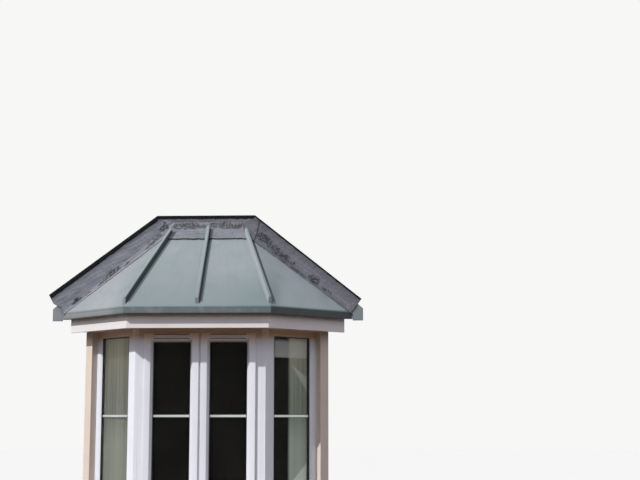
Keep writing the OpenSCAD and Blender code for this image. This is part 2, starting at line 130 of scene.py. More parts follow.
def place(face: Face, line: Line, points: Array) -> Array:
    """Puts points drawn beside one face into the row frame.

    On the front, the first number runs along X from the middle. On a side, it runs from the corner
    of the plan line to the house wall. The second is the distance out from the line, the third up.

    Args:
        face: the face that the points belong to.
        line: plan line that the points are measured from.
        points: array of [along, out, up].

    Returns:
        The same points as [x, y, z].
    """
    along, out, up = points[..., 0], points[..., 1], points[..., 2]
    front_y = HOUSE_WALL_Y - line[1]
    if face is Face.FRONT:
        return stack(along, front_y - out, up)
    c, s = math.cos(SPLAY), math.sin(SPLAY)
    across = (corner_x(line) + along * c + out * s) * face.value
    return stack(across, front_y + along * s - out * c, up)


def ripple(u: Array, v: Array, wavelength: float, seed: int, waves: int = 7) -> Array:
    """A smooth uneven surface: the mean of sine waves of seeded directions, lengths and phases.

    Args:
        u: first coordinate of each point.
        v: second coordinate of each point.
        wavelength: mean length of the waves.
        seed: seed of the draw.
        waves: how many waves are added.

    Returns:
        Heights between about -1 and 1, of the shape of u.
    """
    draw = np.random.default_rng(seed)
    angle = draw.uniform(0, 2 * math.pi, waves)
    length = wavelength * draw.uniform(0.55, 1.7, waves)
    phase = draw.uniform(0, 2 * math.pi, waves)
    k = 2 * math.pi / length
    shape = (-1,) + (1,) * np.ndim(u)
    kx, ky, ph = (a.reshape(shape) for a in (k * np.cos(angle), k * np.sin(angle), phase))
    return np.sin(kx * u[None] + ky * v[None] + ph).mean(0) * 1.8


def ripples(u: Array, v: Array, *parts: tuple[float, int, float]) -> Array:
    """Sum of ripples, each given as its wavelength, seed and height."""
    return sum(ripple(u, v, length, seed) * height for length, seed, height in parts)


def smooth_step(x: Array, low: float, high: float) -> Array:
    """Rises from 0 at low to 1 at high along 3t^2 - 2t^3."""
    t = np.clip((x - low) / (high - low), 0, 1)
    return t * t * (3 - 2 * t)


def round_corners(points: list[Pair], radii: list[float] | float, steps: int = 4) -> Array:
    """Rounds the corners of a closed outline, each with a circular arc that touches both edges.

    Args:
        points: corners in order.
        radii: radius at each corner, 0 to keep it sharp, or one radius for all.
        steps: segments in each arc.

    Returns:
        Array of [first, second] round the outline.
    """
    made = []
    corners = np.array(points, float)
    for i, radius in enumerate(np.broadcast_to(radii, len(corners)).tolist()):
        here, back, on = corners[i], corners[i - 1], corners[(i + 1) % len(corners)]
        a, b = back - here, on - here
        reach_a, reach_b = np.linalg.norm(a), np.linalg.norm(b)
        a, b = a / reach_a, b / reach_b
        half = math.acos(float(np.clip(a @ b, -1, 1))) / 2
        cut = min(radius / max(math.tan(half), 1e-6), 0.49 * reach_a, 0.49 * reach_b)
        if radius <= 0 or half > math.radians(89.5):
            made.append(here[None])
            continue
        centre = here + (a + b) / np.linalg.norm(a + b) * cut / math.cos(half)
        start = here + a * cut - centre
        sense = math.copysign(1.0, a[0] * b[1] - a[1] * b[0])
        angles = -sense * np.linspace(0, math.pi - 2 * half, steps + 1)
        c, s = np.cos(angles), np.sin(angles)
        arc = np.stack([c * start[0] - s * start[1], s * start[0] + c * start[1]], -1)
        made.append(centre + arc * (cut * math.tan(half) / max(np.linalg.norm(start), 1e-9)))
    return np.concatenate(made)


def subdivide_long_edges(outline: Array, longest: float) -> Array:
    """Adds points to a closed outline so that no edge is longer than a length.

    Args:
        outline: points in order.
        longest: greatest length of an edge.

    Returns:
        The outline with the points added.
    """
    ends = np.roll(outline, -1, 0)
    counts = np.maximum(1, np.ceil(np.linalg.norm(ends - outline, axis=1) / longest)).astype(int)
    shares = [np.linspace(0, 1, n, endpoint=False)[:, None] for n in counts]
    return np.concatenate([a + (b - a) * t for a, b, t in zip(outline, ends, shares)])


def grid_faces(rows: int, columns: int, wrap_rows: bool, wrap_columns: bool) -> Array:
    """Quads of a grid whose points are numbered row by row.

    Args:
        rows: points along the first parameter.
        columns: points along the second parameter.
        wrap_rows: joins the last row to the first.
        wrap_columns: joins the last column to the first.

    Returns:
        Array of four point numbers for each quad.
    """
    i, j = np.meshgrid(
        np.arange(rows if wrap_rows else rows - 1),
        np.arange(columns if wrap_columns else columns - 1),
        indexing="ij",
    )
    i2, j2 = (i + 1) % rows, (j + 1) % columns
    corners = [i * columns + j, i * columns + j2, i2 * columns + j2, i2 * columns + j]
    return np.stack(corners, -1).reshape(-1, 4)


def tidy_mesh(mesh: bpy.types.Mesh, merge: float = 1e-5, pair: bool = False) -> None:
    """Merges doubled points and pairs flat triangles where asked.

    Args:
        mesh: mesh to tidy in place.
        merge: distance under which points become one.
        pair: joins pairs of triangles that lie in one plane into quads.
    """
    work = bmesh.new()
    work.from_mesh(mesh)
    bmesh.ops.remove_doubles(work, verts=work.verts, dist=merge)
    bmesh.ops.dissolve_degenerate(work, dist=merge, edges=work.edges)
    if pair:
        bmesh.ops.join_triangles(
            work,
            faces=work.faces,
            angle_face_threshold=math.radians(0.6),
            angle_shape_threshold=math.pi,
        )
    work.to_mesh(mesh)
    work.free()


def link_object(name: str, data: bpy.types.ID) -> bpy.types.Object:
    """Adds an object to the scene.

    Args:
        name: name of the object.
        data: its mesh, light or camera.

    Returns:
        The object.
    """
    item = bpy.data.objects.new(name, data)
    bpy.context.scene.collection.objects.link(item)
    return item


def add_piece(
    name: str,
    mesh: bpy.types.Mesh,
    material: bpy.types.Material,
    slot: str,
    replaces: tuple[str, ...] = (),
    smooth_angle: float = 32.0,
) -> bpy.types.Object:
    """Links a mesh as a piece of the bay that rides on the model's body.

    Args:
        name: name of the piece.
        mesh: its mesh, already in place.
        material: its finish.
        slot: the record's material slot; not used.
        replaces: CAD nodes that it stands for.
        smooth_angle: faces that meet at less than this many degrees are shaded as one surface.

    Returns:
        The object.
    """
    mesh.polygons.foreach_set("use_smooth", np.ones(len(mesh.polygons), bool))
    mesh.set_sharp_from_angle(angle=math.radians(smooth_angle))
    mesh.materials.clear()
    mesh.materials.append(material)
    piece = link_object(name, mesh)
    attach(piece, BODY)
    if replaces:
        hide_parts(*replaces)
    LOG.info("%s: %d faces", name, len(mesh.polygons))
    return piece


@dataclass
class Skin:
    """Points and faces of a mesh under construction."""

    points: list[Array] = field(default_factory=list)
    faces: list[tuple[int, ...]] = field(default_factory=list)
    uvs: list[Array] = field(default_factory=list)
    count: int = 0

    def add_grid(
        self,
        grid: Array,
        wrap_rows: bool = False,
        wrap_columns: bool = False,
        caps: bool = False,
        uv: Array | None = None,
        facing: Triple | None = None,
    ) -> None:
        """Adds a grid of points as a surface and turns its faces outwards.

        A closed surface is turned until the volume that it encloses is positive, the volume being
        a sixth of the sum of the triple products of its triangles. An open sheet is turned until
        the sum of its faces' normals points along a given direction.

        Args:
            grid: points, rows by columns by 3.
            wrap_rows: joins the last row to the first.
            wrap_columns: joins the last column to the first.
            caps: closes the first and last row with one face each.
            uv: two surface coordinates for each point.
            facing: direction that an open sheet looks in.
        """
        rows, columns = grid.shape[:2]
        flat_points = grid.reshape(-1, 3)
        quads = grid_faces(rows, columns, wrap_rows, wrap_columns)
        first = np.arange(columns)
        ends = [first[::-1], first + (rows - 1) * columns] if caps else []
        fans = [np.stack([np.full(columns - 2, e[0]), e[1:-1], e[2:]], -1) for e in ends]
        triangles = np.concatenate([quads[:, [0, 1, 2]], quads[:, [0, 2, 3]], *fans])
        a, b, c = (flat_points[triangles[:, i]] - flat_points[0] for i in range(3))
        if facing is None:
            turned = float(np.einsum("ij,ij->", a, np.cross(b, c))) < 0
        else:
            turned = float(np.cross(b - a, c - a).sum(0) @ np.array(facing)) < 0
        faces = quads.tolist() + [end.tolist() for end in ends]
        way = -1 if turned else 1
        self.faces += [tuple(number + self.count for number in face[::way]) for face in faces]
        self.points.append(flat_points)
        if uv is not None:
            self.uvs.append(uv.reshape(-1, 2))
        self.count += rows * columns

    def build(self, name: str) -> bpy.types.Mesh:
        """Makes the mesh, with the surface coordinates as a UV map where it has them.

        Args:
            name: name of the mesh.

        Returns:
            The mesh, with its doubled points merged.
        """
        mesh = bpy.data.meshes.new(name)
        mesh.from_pydata(np.concatenate(self.points).tolist(), [], self.faces)
        if self.uvs:
            layer = mesh.uv_layers.new(name="surface")
            loop_points = np.zeros(len(mesh.loops), np.int32)
            mesh.loops.foreach_get("vertex_index", loop_points)
            layer.data.foreach_set("uv", np.concatenate(self.uvs)[loop_points].ravel())
        tidy_mesh(mesh)
        return mesh


def add_solid(
    name: str,
    grids: list[Array],
    material: bpy.types.Material,
    slot: str,
    replaces: tuple[str, ...] = (),
    smooth_angle: float = 32.0,
    wrap_rows: bool = False,
    uv: Array | None = None,
) -> bpy.types.Object:
    """Adds a piece of one or more closed tubes of points.

    Args:
        name: name of the piece.
        grids: points of each tube, its sections one after another.
        material: finish.
        slot: the record's material slot.
        replaces: CAD nodes that it stands for.
        smooth_angle: greatest angle in degrees that is shaded smooth.
        wrap_rows: closes each tube into a ring, which otherwise gets its two end faces.
        uv: surface coordinates of a single tube.

    Returns:
        The object.
    """
    skin = Skin()
    for grid in grids:
        skin.add_grid(grid, wrap_rows, wrap_columns=True, caps=not wrap_rows, uv=uv)
    return add_piece(name, skin.build(name), material, slot, replaces, smooth_angle)


def add_sheet(
    name: str,
    grid: Array,
    uv: Array,
    facing: Triple,
    material: bpy.types.Material,
    slot: str,
    node: str,
    thickness: float,
    even: bool = True,
    smooth_angle: float = 32.0,
) -> None:
    """Adds an open sheet as a piece and gives it its thickness behind its face.

    Args:
        name: name of the piece.
        grid: points of its face.
        uv: surface coordinates of the points.
        facing: direction that the sheet looks in.
        material: finish.
        slot: the record's material slot.
        node: CAD node that it stands for.
        thickness: thickness behind the face.
        even: keeps the thickness the same round sharp bends.
        smooth_angle: greatest angle in degrees that is shaded smooth.
    """
    skin = Skin()
    skin.add_grid(grid, uv=uv, facing=facing)
    piece = add_piece(name, skin.build(name), material, slot, (node,), smooth_angle)
    wall = piece.modifiers.new("wall", "SOLIDIFY")
    wall.thickness = thickness
    wall.offset = -1
    wall.use_even_offset = even


def add_bevel(piece: bpy.types.Object, width: float, segments: int = 2) -> None:
    """Rounds the edges of a piece that turn by more than 25 degrees.

    Args:
        piece: the piece.
        width: width of the rounded edges.
        segments: segments in each.
    """
    bevel = piece.modifiers.new("rounded_edges", "BEVEL")
    bevel.width = width
    bevel.segments = segments
    bevel.limit_method = "ANGLE"
    bevel.angle_limit = math.radians(25)
    bevel.miter_outer = "MITER_ARC"
    bevel.harden_normals = False


def soft_copy(
    node: str, material: bpy.types.Material, slot: str, radius: float, segments: int = 2
) -> bpy.types.Object:
    """Copies a CAD node's mesh, rounds its edges and shows it in the node's place.

    Args:
        node: the CAD node.
        material: finish of the copy.
        slot: the record's material slot.
        radius: radius of the rounded edges.
        segments: segments in each rounded edge.

    Returns:
        The new piece.
    """
    mesh = frame["nodes"][node].data.copy()
    tidy_mesh(mesh, merge=2e-5, pair=True)
    piece = add_piece(node + "_dressed", mesh, material, slot, (node,))
    add_bevel(piece, radius, segments)
    return piece


# Shader tools


def scaled(colour: Colour, factor: float) -> Colour:
    """A colour with each channel multiplied."""
    return tuple(factor * value for value in colour)


class NodeKit:
    """Adds and joins shader nodes in one node tree."""

    def __init__(self, tree: bpy.types.NodeTree) -> None:
        """Keeps the tree that the nodes go into."""
        self.tree = tree

    def add(self, kind: str, settings: dict | None = None, **inputs: object) -> bpy.types.Node:
        """Adds a node.

        Args:
            kind: Blender's name for the node's type, without the ShaderNode at its start.
            settings: properties of the node.
            **inputs: sockets by name with spaces as underscores or by number as i0, each a value or
                another socket.

        Returns:
            The node.
        """
        node = self.tree.nodes.new("ShaderNode" + kind)
        for key, value in (settings or {}).items():
            setattr(node, key, value)
        for key, value in inputs.items():
            index = int(key[1:]) if key[0] == "i" and key[1:].isdigit() else key.replace("_", " ")
            self.feed(node.inputs[index], value)
        return node

    def feed(self, socket: Socket, value: object) -> None:
        """Joins a socket to a socket, or sets its value.

        Args:
            socket: the socket that takes the value.
            value: another socket, or a number, vector or colour.
        """
        if isinstance(value, Socket):
            self.tree.links.new(value, socket)
        elif isinstance(value, tuple) and len(value) == 3 and socket.type == "RGBA":
            socket.default_value = (*value, 1.0)
        else:
            socket.default_value = value

    def group(self, tree: bpy.types.NodeTree, **inputs: object) -> Socket:
        """Adds a node group.

        Args:
            tree: the group.
            **inputs: its inputs by name.

        Returns:
            Its output.
        """
        node = self.tree.nodes.new("ShaderNodeGroup")
        node.node_tree = tree
        for key, value in inputs.items():
            self.feed(node.inputs[key], value)
        return node.outputs[0]

    def mix(self, factor: object, a: object, b: object) -> Socket:
        """Mixes two colours by a factor."""
        return self.add("Mix", {"data_type": "RGBA"}, i0=factor, i6=a, i7=b).outputs[2]

    def tint(self, colour: object, mask: object, amount: object, other: object) -> Socket:
        """Lays another colour over a colour, by an amount of a mask."""
        return self.mix(self.times(mask, amount), colour, other)

    def math(self, operation: str, a: object, b: object = 0.0) -> Socket:
        """Does one operation on two numbers."""
        return self.add("Math", {"operation": operation}, i0=a, i1=b).outputs[0]

    def times(self, a: object, b: object) -> Socket:
        """Multiplies two numbers."""
        return self.math("MULTIPLY", a, b)

    def split(self, vector: Socket) -> list[Socket]:
        """X, Y and Z of a vector."""
        return list(self.add("SeparateXYZ", Vector=vector).outputs)

    def ramp(self, value: object, low: object, high: object) -> Socket:
        """Rises smoothly from 0 to 1.

        Args:
            value: the number that it follows.
            low: where it is 0; as a number, it may be greater than high.
            high: where it is 1.

        Returns:
            The mask.
        """
        settings = {"interpolation_type": "SMOOTHSTEP"}
        if isinstance(low, Socket) or low < high:
            ends = {"From_Min": low, "From_Max": high}
        else:
            ends = {"From_Min": high, "From_Max": low, "To_Min": 1.0, "To_Max": 0.0}
        return self.add("MapRange", settings, Value=value, **ends).outputs[0]

    def spread(self, value: Socket, low: float, high: float) -> Socket:
        """Runs evenly from low where the value is 0 to high where it is 1."""
        return self.add("MapRange", Value=value, To_Min=low, To_Max=high).outputs[0]


def empty_tree(owner: bpy.types.Material | bpy.types.World) -> bpy.types.NodeTree:
    """Clears the shader nodes of a material or a world.

    Args:
        owner: the material or world.

    Returns:
        Its empty node tree.
    """
    owner.use_nodes = True
    owner.node_tree.nodes.clear()
    return owner.node_tree


def new_group(name: str, output: str, **inputs: object) -> tuple:
    """Starts a shader node group that works on a vector.

    Args:
        name: name of the group.
        output: name of its one output, a number.
        **inputs: default value of each further input by name.

    Returns:
        The group's kit, its inputs by name and the socket that takes its result.
    """
    tree = bpy.data.node_groups.new(name, "ShaderNodeTree")
    tree.interface.new_socket(name="Vector", in_out="INPUT", socket_type="NodeSocketVector")
    for label, default in inputs.items():
        kind = "NodeSocketVector" if isinstance(default, tuple) else "NodeSocketFloat"
        socket = tree.interface.new_socket(name=label, in_out="INPUT", socket_type=kind)
        socket.default_value = default
    tree.interface.new_socket(name=output, in_out="OUTPUT", socket_type="NodeSocketFloat")
    source, sink = tree.nodes.new("NodeGroupInput"), tree.nodes.new("NodeGroupOutput")
    return NodeKit(tree), source.outputs, sink.inputs[0]


class Effects:
    """Shader node groups that several finishes share."""

    def __init__(self) -> None:
        """Builds each group once."""
        self.patches = self.make_patches()
        self.streaks = self.make_streaks()
        self.grain = self.make_grain()

    @staticmethod
    def make_patches() -> bpy.types.NodeTree:
        """Soft blotches: fractal noise, cut to a mask between two levels.

        Returns:
            The group.
        """
        kit, given, result = new_group("blotches", "Mask", Scale=5.0, Low=0.4, High=0.7)
        noise = kit.add(
            "TexNoise", Vector=given["Vector"], Scale=given["Scale"], Detail=6.0, Roughness=0.62,
            Distortion=0.3,
        )
        kit.feed(result, kit.ramp(noise.outputs[0], given["Low"], given["High"]))
        return kit.tree

    @staticmethod
    def make_streaks() -> bpy.types.NodeTree:
        """Run marks: noise stretched along the way that water runs, cut to a mask.

        Returns:
            The group.
        """
        kit, given, result = new_group(
            "run_marks", "Mask", Stretch=(25.0, 25.0, 1.2), Low=0.45, High=0.75
        )
        times = {"operation": "MULTIPLY"}
        drawn = kit.add("VectorMath", times, i0=given["Vector"], i1=given["Stretch"])
        noise = kit.add("TexNoise", Vector=drawn.outputs[0], Scale=1.0, Detail=4.0, Roughness=0.6)
        kit.feed(result, kit.ramp(noise.outputs[0], given["Low"], given["High"]))
        return kit.tree

    @staticmethod
    def make_grain() -> bpy.types.NodeTree:
        """Grain height: fine noise over a coarser one, in shares.

        Returns:
            The group.
        """
        kit, given, result = new_group("grain", "Height", Fine=400.0, Coarse=40.0, Share=0.5)
        fine, coarse = (
            kit.add("TexNoise", Vector=given["Vector"], Scale=given[key], Detail=detail).outputs[0]
            for key, detail in (("Fine", 3.0), ("Coarse", 4.0))
        )
        both = kit.add("Mix", {"data_type": "FLOAT"}, i0=given["Share"], i2=coarse, i3=fine)
        kit.feed(result, both.outputs[0])
        return kit.tree


class Paint(NodeKit):
    """Nodes of one material, with its Principled shader and its coordinates."""

    def __init__(self, name: str, effects: Effects, **constants: object) -> None:
        """Starts the material.

        Args:
            name: its name.
            effects: the shared node groups.
            **constants: plain values of the Principled shader's sockets.
        """
        self.material = bpy.data.materials.new(name)
        super().__init__(empty_tree(self.material))
        self.effects = effects
        self.surface = self.add("BsdfPrincipled", **constants)
        self.feed(self.add("OutputMaterial").inputs[0], self.surface.outputs[0])
        given = self.add("TexCoord").outputs
        self.solid, self.flat, self.normal = given["Object"], given["UV"], given["Normal"]

    @cached_property
    def at(self) -> list[Socket]:
        """X, Y and Z of the point."""
        return self.split(self.solid)

    @cached_property
    def on(self) -> list[Socket]:
        """The two surface coordinates of the point."""
        return self.split(self.flat)[:2]

    def blotches(self, scale: float, low: float, high: float) -> Socket:
        """Mask of soft blotches in space; a greater scale makes them smaller."""
        return self.group(self.effects.patches, Vector=self.solid, Scale=scale, Low=low, High=high)

    def runs(self, stretch: Triple, low: float, high: float, flat: bool = False) -> Socket:
        """Mask of marks drawn along the axis with the least stretch, in space or on the surface."""
        vector = self.flat if flat else self.solid
        return self.group(self.effects.streaks, Vector=vector, Stretch=stretch, Low=low, High=high)

    def grain(self, fine: float, coarse: float, share: float) -> Socket:
        """Height of the grain, from the two noises' scales and the fine one's share."""
        noises = {"Fine": fine, "Coarse": coarse, "Share": share}
        return self.group(self.effects.grain, Vector=self.solid, **noises)

    def join(self, name: str, value: Socket) -> bpy.types.Material:
        """Joins a value to one of the shader's sockets and returns the material."""
        self.feed(self.surface.inputs[name], value)
        return self.material

    def dress(
        self, colour: Socket, mask: Socket, rough: Pair, height: Socket, depth: float
    ) -> bpy.types.Material:
        """Joins colour, roughness and bump.

        Args:
            colour: the colour.
            mask: what the roughness follows.
            rough: roughness where the mask is 0 and where it is 1.
            height: height of the bump, as a share of its depth.
            depth: depth of the bump.

        Returns:
            The material.
        """
        self.join("Roughness", self.spread(mask, *rough))
        bump = self.add("Bump", Height=height, Strength=1.0, Distance=depth)
        self.join("Normal", bump.outputs[0])
        return self.join("Base Color", colour)


@dataclass(frozen=True)
class Weathered:
    """An opaque finish with blotches, run marks and grain, and painted shade and bounce light near
    its top where asked.
    """

    name: str
    colour: Colour
    stain: Colour
    stain_scale: float = 4.0
    stain_amount: float = 0.4
    streak: Colour = (0.3, 0.3, 0.28)
    streak_amount: float = 0.0
    streak_stretch: Triple = (22.0, 22.0, 1.0)
    roughness: float = 0.5
    roughness_spread: float = 0.1
    grain_fine: float = 400.0
    grain_coarse: float = 40.0
    grain_share: float = 0.5
    grain_depth: float = 0.0004
    specular: float = 0.5
    coat: float = 0.0
    coat_roughness: float = 0.25
    soffit_shade: Colour = (0.4, 0.33, 0.28)
    soffit_shade_amount: float = 0.0
    soffit_shade_levels: Pair = (0.0, 1.0)
    dust: Colour = (0.37, 0.36, 0.34)
    dust_amount: float = 0.0
    dust_facing: Pair = (0.3, 0.8)

    def build(self, effects: Effects) -> bpy.types.Material:
        """Makes the material.

        Args:
            effects: the shared node groups.

        Returns:
            The material.
        """
        coat = {}
        if self.coat:
            coat = {"Coat_Weight": self.coat, "Coat_Roughness": self.coat_roughness}
        paint = Paint(self.name, effects, Specular_IOR_Level=self.specular, **coat)
        blotch = paint.blotches(self.stain_scale, low=0.42, high=0.72)
        colour = paint.tint(self.colour, blotch, self.stain_amount, self.stain)
        if self.streak_amount:
            run = paint.runs(self.streak_stretch, low=0.48, high=0.78)
            colour = paint.tint(colour, run, self.streak_amount, self.streak)
        # Painted shade and warm bounce light towards the top, under the soffit.
        if self.soffit_shade_amount:
            high = paint.ramp(paint.at[2], *self.soffit_shade_levels)
            colour = paint.tint(colour, high, self.soffit_shade_amount, self.soffit_shade)
        if self.dust_amount:
            settled = paint.ramp(paint.split(paint.normal)[2], *self.dust_facing)
            colour = paint.tint(colour, settled, self.dust_amount, self.dust)
        rough = (self.roughness, self.roughness + self.roughness_spread)
        grain = paint.grain(self.grain_fine, self.grain_coarse, self.grain_share)
        return paint.dress(colour, blotch, rough, grain, self.grain_depth)


@dataclass(frozen=True)
class ClearGlass:
    """A clear pane that lets light through."""

    name: str = "clear_pane"
    tint: Colour = (0.96, 0.98, 0.97)
    ior: float = 1.09

    def build(self, effects: Effects) -> bpy.types.Material:
        """Makes the material.

        Args:
            effects: the shared node groups.

        Returns:
            The material.
        """
        paint = Paint(self.name, effects, Transmission_Weight=1.0, Roughness=0.02, IOR=self.ior)
        film = paint.add("TexNoise", Vector=paint.solid, Scale=9.0, Detail=4.0).outputs[0]
        return paint.join("Base Color", paint.mix(film, self.tint, scaled(self.tint, 0.97)))


class PaneLook(Enum):
    """What the inner pane of a light shows."""

    DARK = "dark"
    STREAKED = "streaked"
    HALF_DARK = "half_dark"


@dataclass(frozen=True)
class RoomPane:
    """The inner pane: painted darkness of the unlit room, or the soft grey upright bands that the
    side lights show.

    The bands turn browner from the middle level to the head and paler to the foot. `split` is where
    the dark half ends and `band` the levels of the pale band across it. The last two fields hold
    the edges of the slanting pale fields, which are painted reflections: the slope of each edge,
    and the values of level + slope * x between which it fades.
    """

    name: str
    look: PaneLook
    dark: Colour = (0.005, 0.0045, 0.004)
    pale: Colour = (0.245, 0.243, 0.214)
    middle: Colour = (0.155, 0.154, 0.134)
    top: Colour = (0.32, 0.26, 0.175)
    low: Colour = (0.335, 0.342, 0.303)
    corner: Colour = (0.6, 0.64, 0.6)
    band_inner: Colour = (0.26, 0.253, 0.253)
    band_outer: Colour = (0.33, 0.318, 0.302)
    levels: Triple = (1.35, 1.75, 2.3)
    split: float = 0.0
    band: Pair = (2.11, 2.24)
    upper_reflection: tuple[Triple, ...] = ((0.82, 2.66, 2.645), (1.77, 3.33, 3.37))
    lower_reflection: Triple = (-1.3, 0.137, 0.112)

    def build(self, effects: Effects) -> bpy.types.Material:
        """Makes the material.

        Args:
            effects: the shared node groups.

        Returns:
            The material.
        """
        paint = Paint(self.name, effects, Roughness=0.35, Specular_IOR_Level=0.0)
        colour = self.darkness(paint) if self.look is PaneLook.DARK else self.bands(paint)
        if self.look is PaneLook.HALF_DARK:
            colour = self.half(paint, colour)
        return paint.join("Base Color", colour)

    def darkness(self, paint: Paint) -> Socket:
        """Painted darkness of the unlit room, with faintly paler clouds."""
        return paint.mix(paint.blotches(2.2, low=0.35, high=0.8), self.dark, scaled(self.dark, 2.2))

    def bands(self, paint: Paint) -> Socket:
        """Upright bands, browner at the head of the light and paler at its foot.

        Args:
            paint: the material's nodes.

        Returns:
            The colour.
        """
        narrow = paint.runs((46.0, 46.0, 0.35), low=0.34, high=0.68)
        wide = paint.runs((9.0, 9.0, 0.6), low=0.3, high=0.7)
        colour = paint.mix(narrow, self.middle, self.pale)
        colour = paint.tint(colour, wide, 0.3, scaled(self.middle, 0.6))
        foot, middle, head = self.levels
        colour = paint.tint(colour, paint.ramp(paint.at[2], middle, head), 0.4, self.top)
        return paint.tint(colour, paint.ramp(paint.at[2], middle, foot), 0.45, self.low)

    def half(self, paint: Paint, colour: Socket) -> Socket:
        """Darkens the half next to the front, under a pale band, and lays two slanting painted
        reflections.

        Args:
            paint: the material's nodes.
            colour: colour so far.

        Returns:
            The new colour.
        """
        x, _, z = paint.at
        over, under, across = (
            paint.ramp(paint.math("ADD", z, paint.times(x, slope)), start, end)
            for slope, start, end in (*self.upper_reflection, self.lower_reflection)
        )
        # Painted reflections: a slanting pale band, and a pale field towards the lower corner.
        colour = paint.tint(colour, paint.times(over, under), 0.45, self.low)
        colour = paint.tint(colour, across, 0.85, paint.mix(0.35, self.low, self.corner))
        edge = paint.ramp(x, self.split - 0.012, self.split + 0.012)
        colour = paint.mix(edge, self.darkness(paint), colour)
        low, high = self.band
        band = paint.times(
            paint.ramp(z, low - 0.008, low + 0.004), paint.ramp(z, high + 0.03, high - 0.01)
        )
        return paint.tint(colour, band, 0.8, paint.mix(edge, self.band_inner, self.band_outer))


@dataclass(frozen=True)
class DressedLead:
    """Dull lead sheet: blue-grey patina, streaks along the strip, and scuffs left by the dressing.

    The piece's surface coordinates are the distance along the strip and the distance up from its
    lower edge, in metres. `marks` places clusters of scuffs there [along, up, half length, half
    height]. `outer` and `seam` are straight lines [half width, level] on the wall: the edge next
    to the black bead, along which a painted shadow darkens the sheet, and the joint between two
    sheets. The bands are the distances from the lower edge or from a line at which a mark starts
    and is full. A sheet may also be darkened as a whole as painted shade, and is darker where it
    lies on the slope.
    """

    name: str = "dressed_lead"
    colour: Colour = (0.165, 0.174, 0.212)
    bloom: Colour = (0.25, 0.255, 0.29)
    deep: Colour = (0.085, 0.086, 0.104)
    dark: Colour = (0.022, 0.023, 0.028)
    smear: Colour = (0.36, 0.345, 0.33)
    hem: Colour = (0.32, 0.325, 0.35)
    sheet_shade: float = 0.0
    lap_darkening: float = 0.5
    pale_edge: float = 0.0
    outer_shadow: float = 0.65
    by_rolls: bool = False
    marks: tuple[tuple[float, float, float, float], ...] = ()
    outer: tuple[Pair, Pair] | None = None
    seam: tuple[Pair, Pair] | None = None
    hem_band: Pair = (0.026, 0.018)
    outer_shadow_band: Pair = (0.085, 0.02)
    seam_band: Pair = (0.0075, 0.004)
    lap_facing: Pair = (0.2, 0.5)

    def build(self, effects: Effects) -> bpy.types.Material:
        """Makes the material.

        Args:
            effects: the shared node groups.

        Returns:
            The material.
        """
        paint = Paint(self.name, effects, Specular_IOR_Level=0.3)
        patina = paint.blotches(7.0, low=0.38, high=0.72)
        colour = paint.tint(self.colour, patina, 0.45, self.bloom)
        # Painted shade: the whole sheet darker, for a sheet that catches no sheen from the light.
        colour = paint.mix(self.sheet_shade, colour, self.deep)
        drawn = paint.runs((3.2, 44.0, 1.0), low=0.46, high=0.74, flat=True)
        colour = paint.tint(colour, drawn, 0.6, self.deep)
        colour = paint.tint(colour, paint.blotches(58.0, low=0.5, high=0.62), 0.3, self.deep)
        wiped = paint.runs((2.1, 27.0, 1.0), low=0.5, high=0.72, flat=True)
        colour = paint.tint(colour, wiped, 0.4, self.bloom)
        # Darker where the sheet lies on the slope, facing up.
        lap = paint.ramp(paint.split(paint.normal)[2], *self.lap_facing)
        colour = paint.tint(colour, lap, self.lap_darkening, self.deep)
        clusters = self.clusters(paint)
        scuffs = paint.math(
            "MAXIMUM",
            paint.blotches(60.0, low=0.44, high=0.5),
            paint.blotches(30.0, low=0.53, high=0.57),
        )
        share = paint.times(scuffs, clusters)
        colour = paint.tint(colour, clusters, 0.5, self.deep)
        colour = paint.tint(colour, share, 0.95, self.dark)
        lumps = paint.times(paint.blotches(48.0, low=0.58, high=0.66), clusters)
        colour = self.edges(paint, paint.tint(colour, lumps, 0.35, self.smear))
        paint.join("Metallic", paint.spread(patina, 0.22, 0.06))
        grain = paint.grain(fine=150.0, coarse=22.0, share=0.3)
        height = paint.math("ADD", grain, paint.times(share, 0.15))
        return paint.dress(colour, patina, (0.55, 0.75), height, depth=0.0016)

    def edges(self, paint: Paint, colour: Socket) -> Socket:
        """Lays the pale hem, the dirt and painted shadow by the rolls, the painted shadow along the
        outer edge and the dark joint.

        Args:
            paint: the material's nodes.
            colour: colour so far.

        Returns:
            The new colour.
        """
        if self.pale_edge:
            edge = paint.ramp(paint.on[1], *self.hem_band)
            colour = paint.tint(colour, edge, self.pale_edge, self.hem)
        # Dirt and painted shadow beside the rolls.
        if self.by_rolls:
            colour = paint.tint(colour, roll_dirt_and_shade(paint), 0.9, self.dark)
        # Painted shadow along the outer edge, next to the black bead.
        if self.outer:
            inside = paint.times(self.beside(paint, *self.outer), -1.0)
            edge = paint.ramp(inside, *self.outer_shadow_band)
            colour = paint.tint(colour, edge, self.outer_shadow, self.dark)
        if self.seam:
            aside = paint.math("ABSOLUTE", self.beside(paint, *self.seam))
            colour = paint.tint(colour, paint.ramp(aside, *self.seam_band), 0.85, self.dark)
        return colour

    def clusters(self, paint: Paint) -> Socket | float:
        """Mask of the scuffed places: ragged ovals (du / half length)^2 + (dv / half height)^2 < 1.

        Args:
            paint: the material's nodes.

        Returns:
            The mask.
        """
        ragged = paint.blotches(19.0, low=0.3, high=0.7)
        spread = paint.times(paint.math("SUBTRACT", ragged, 0.5), 1.5)
        mask: object = 0.0
        for along, up, half_length, half_height in self.marks:
            a = paint.times(paint.math("SUBTRACT", paint.on[0], along), 1 / half_length)
            b = paint.times(paint.math("SUBTRACT", paint.on[1], up), 1 / half_height)
            oval = paint.math("ADD", paint.times(a, a), paint.times(b, b))
            ragged_oval = paint.ramp(paint.math("ADD", oval, spread), 1.25, 0.35)
            mask = paint.math("MAXIMUM", mask, ragged_oval)
        return mask

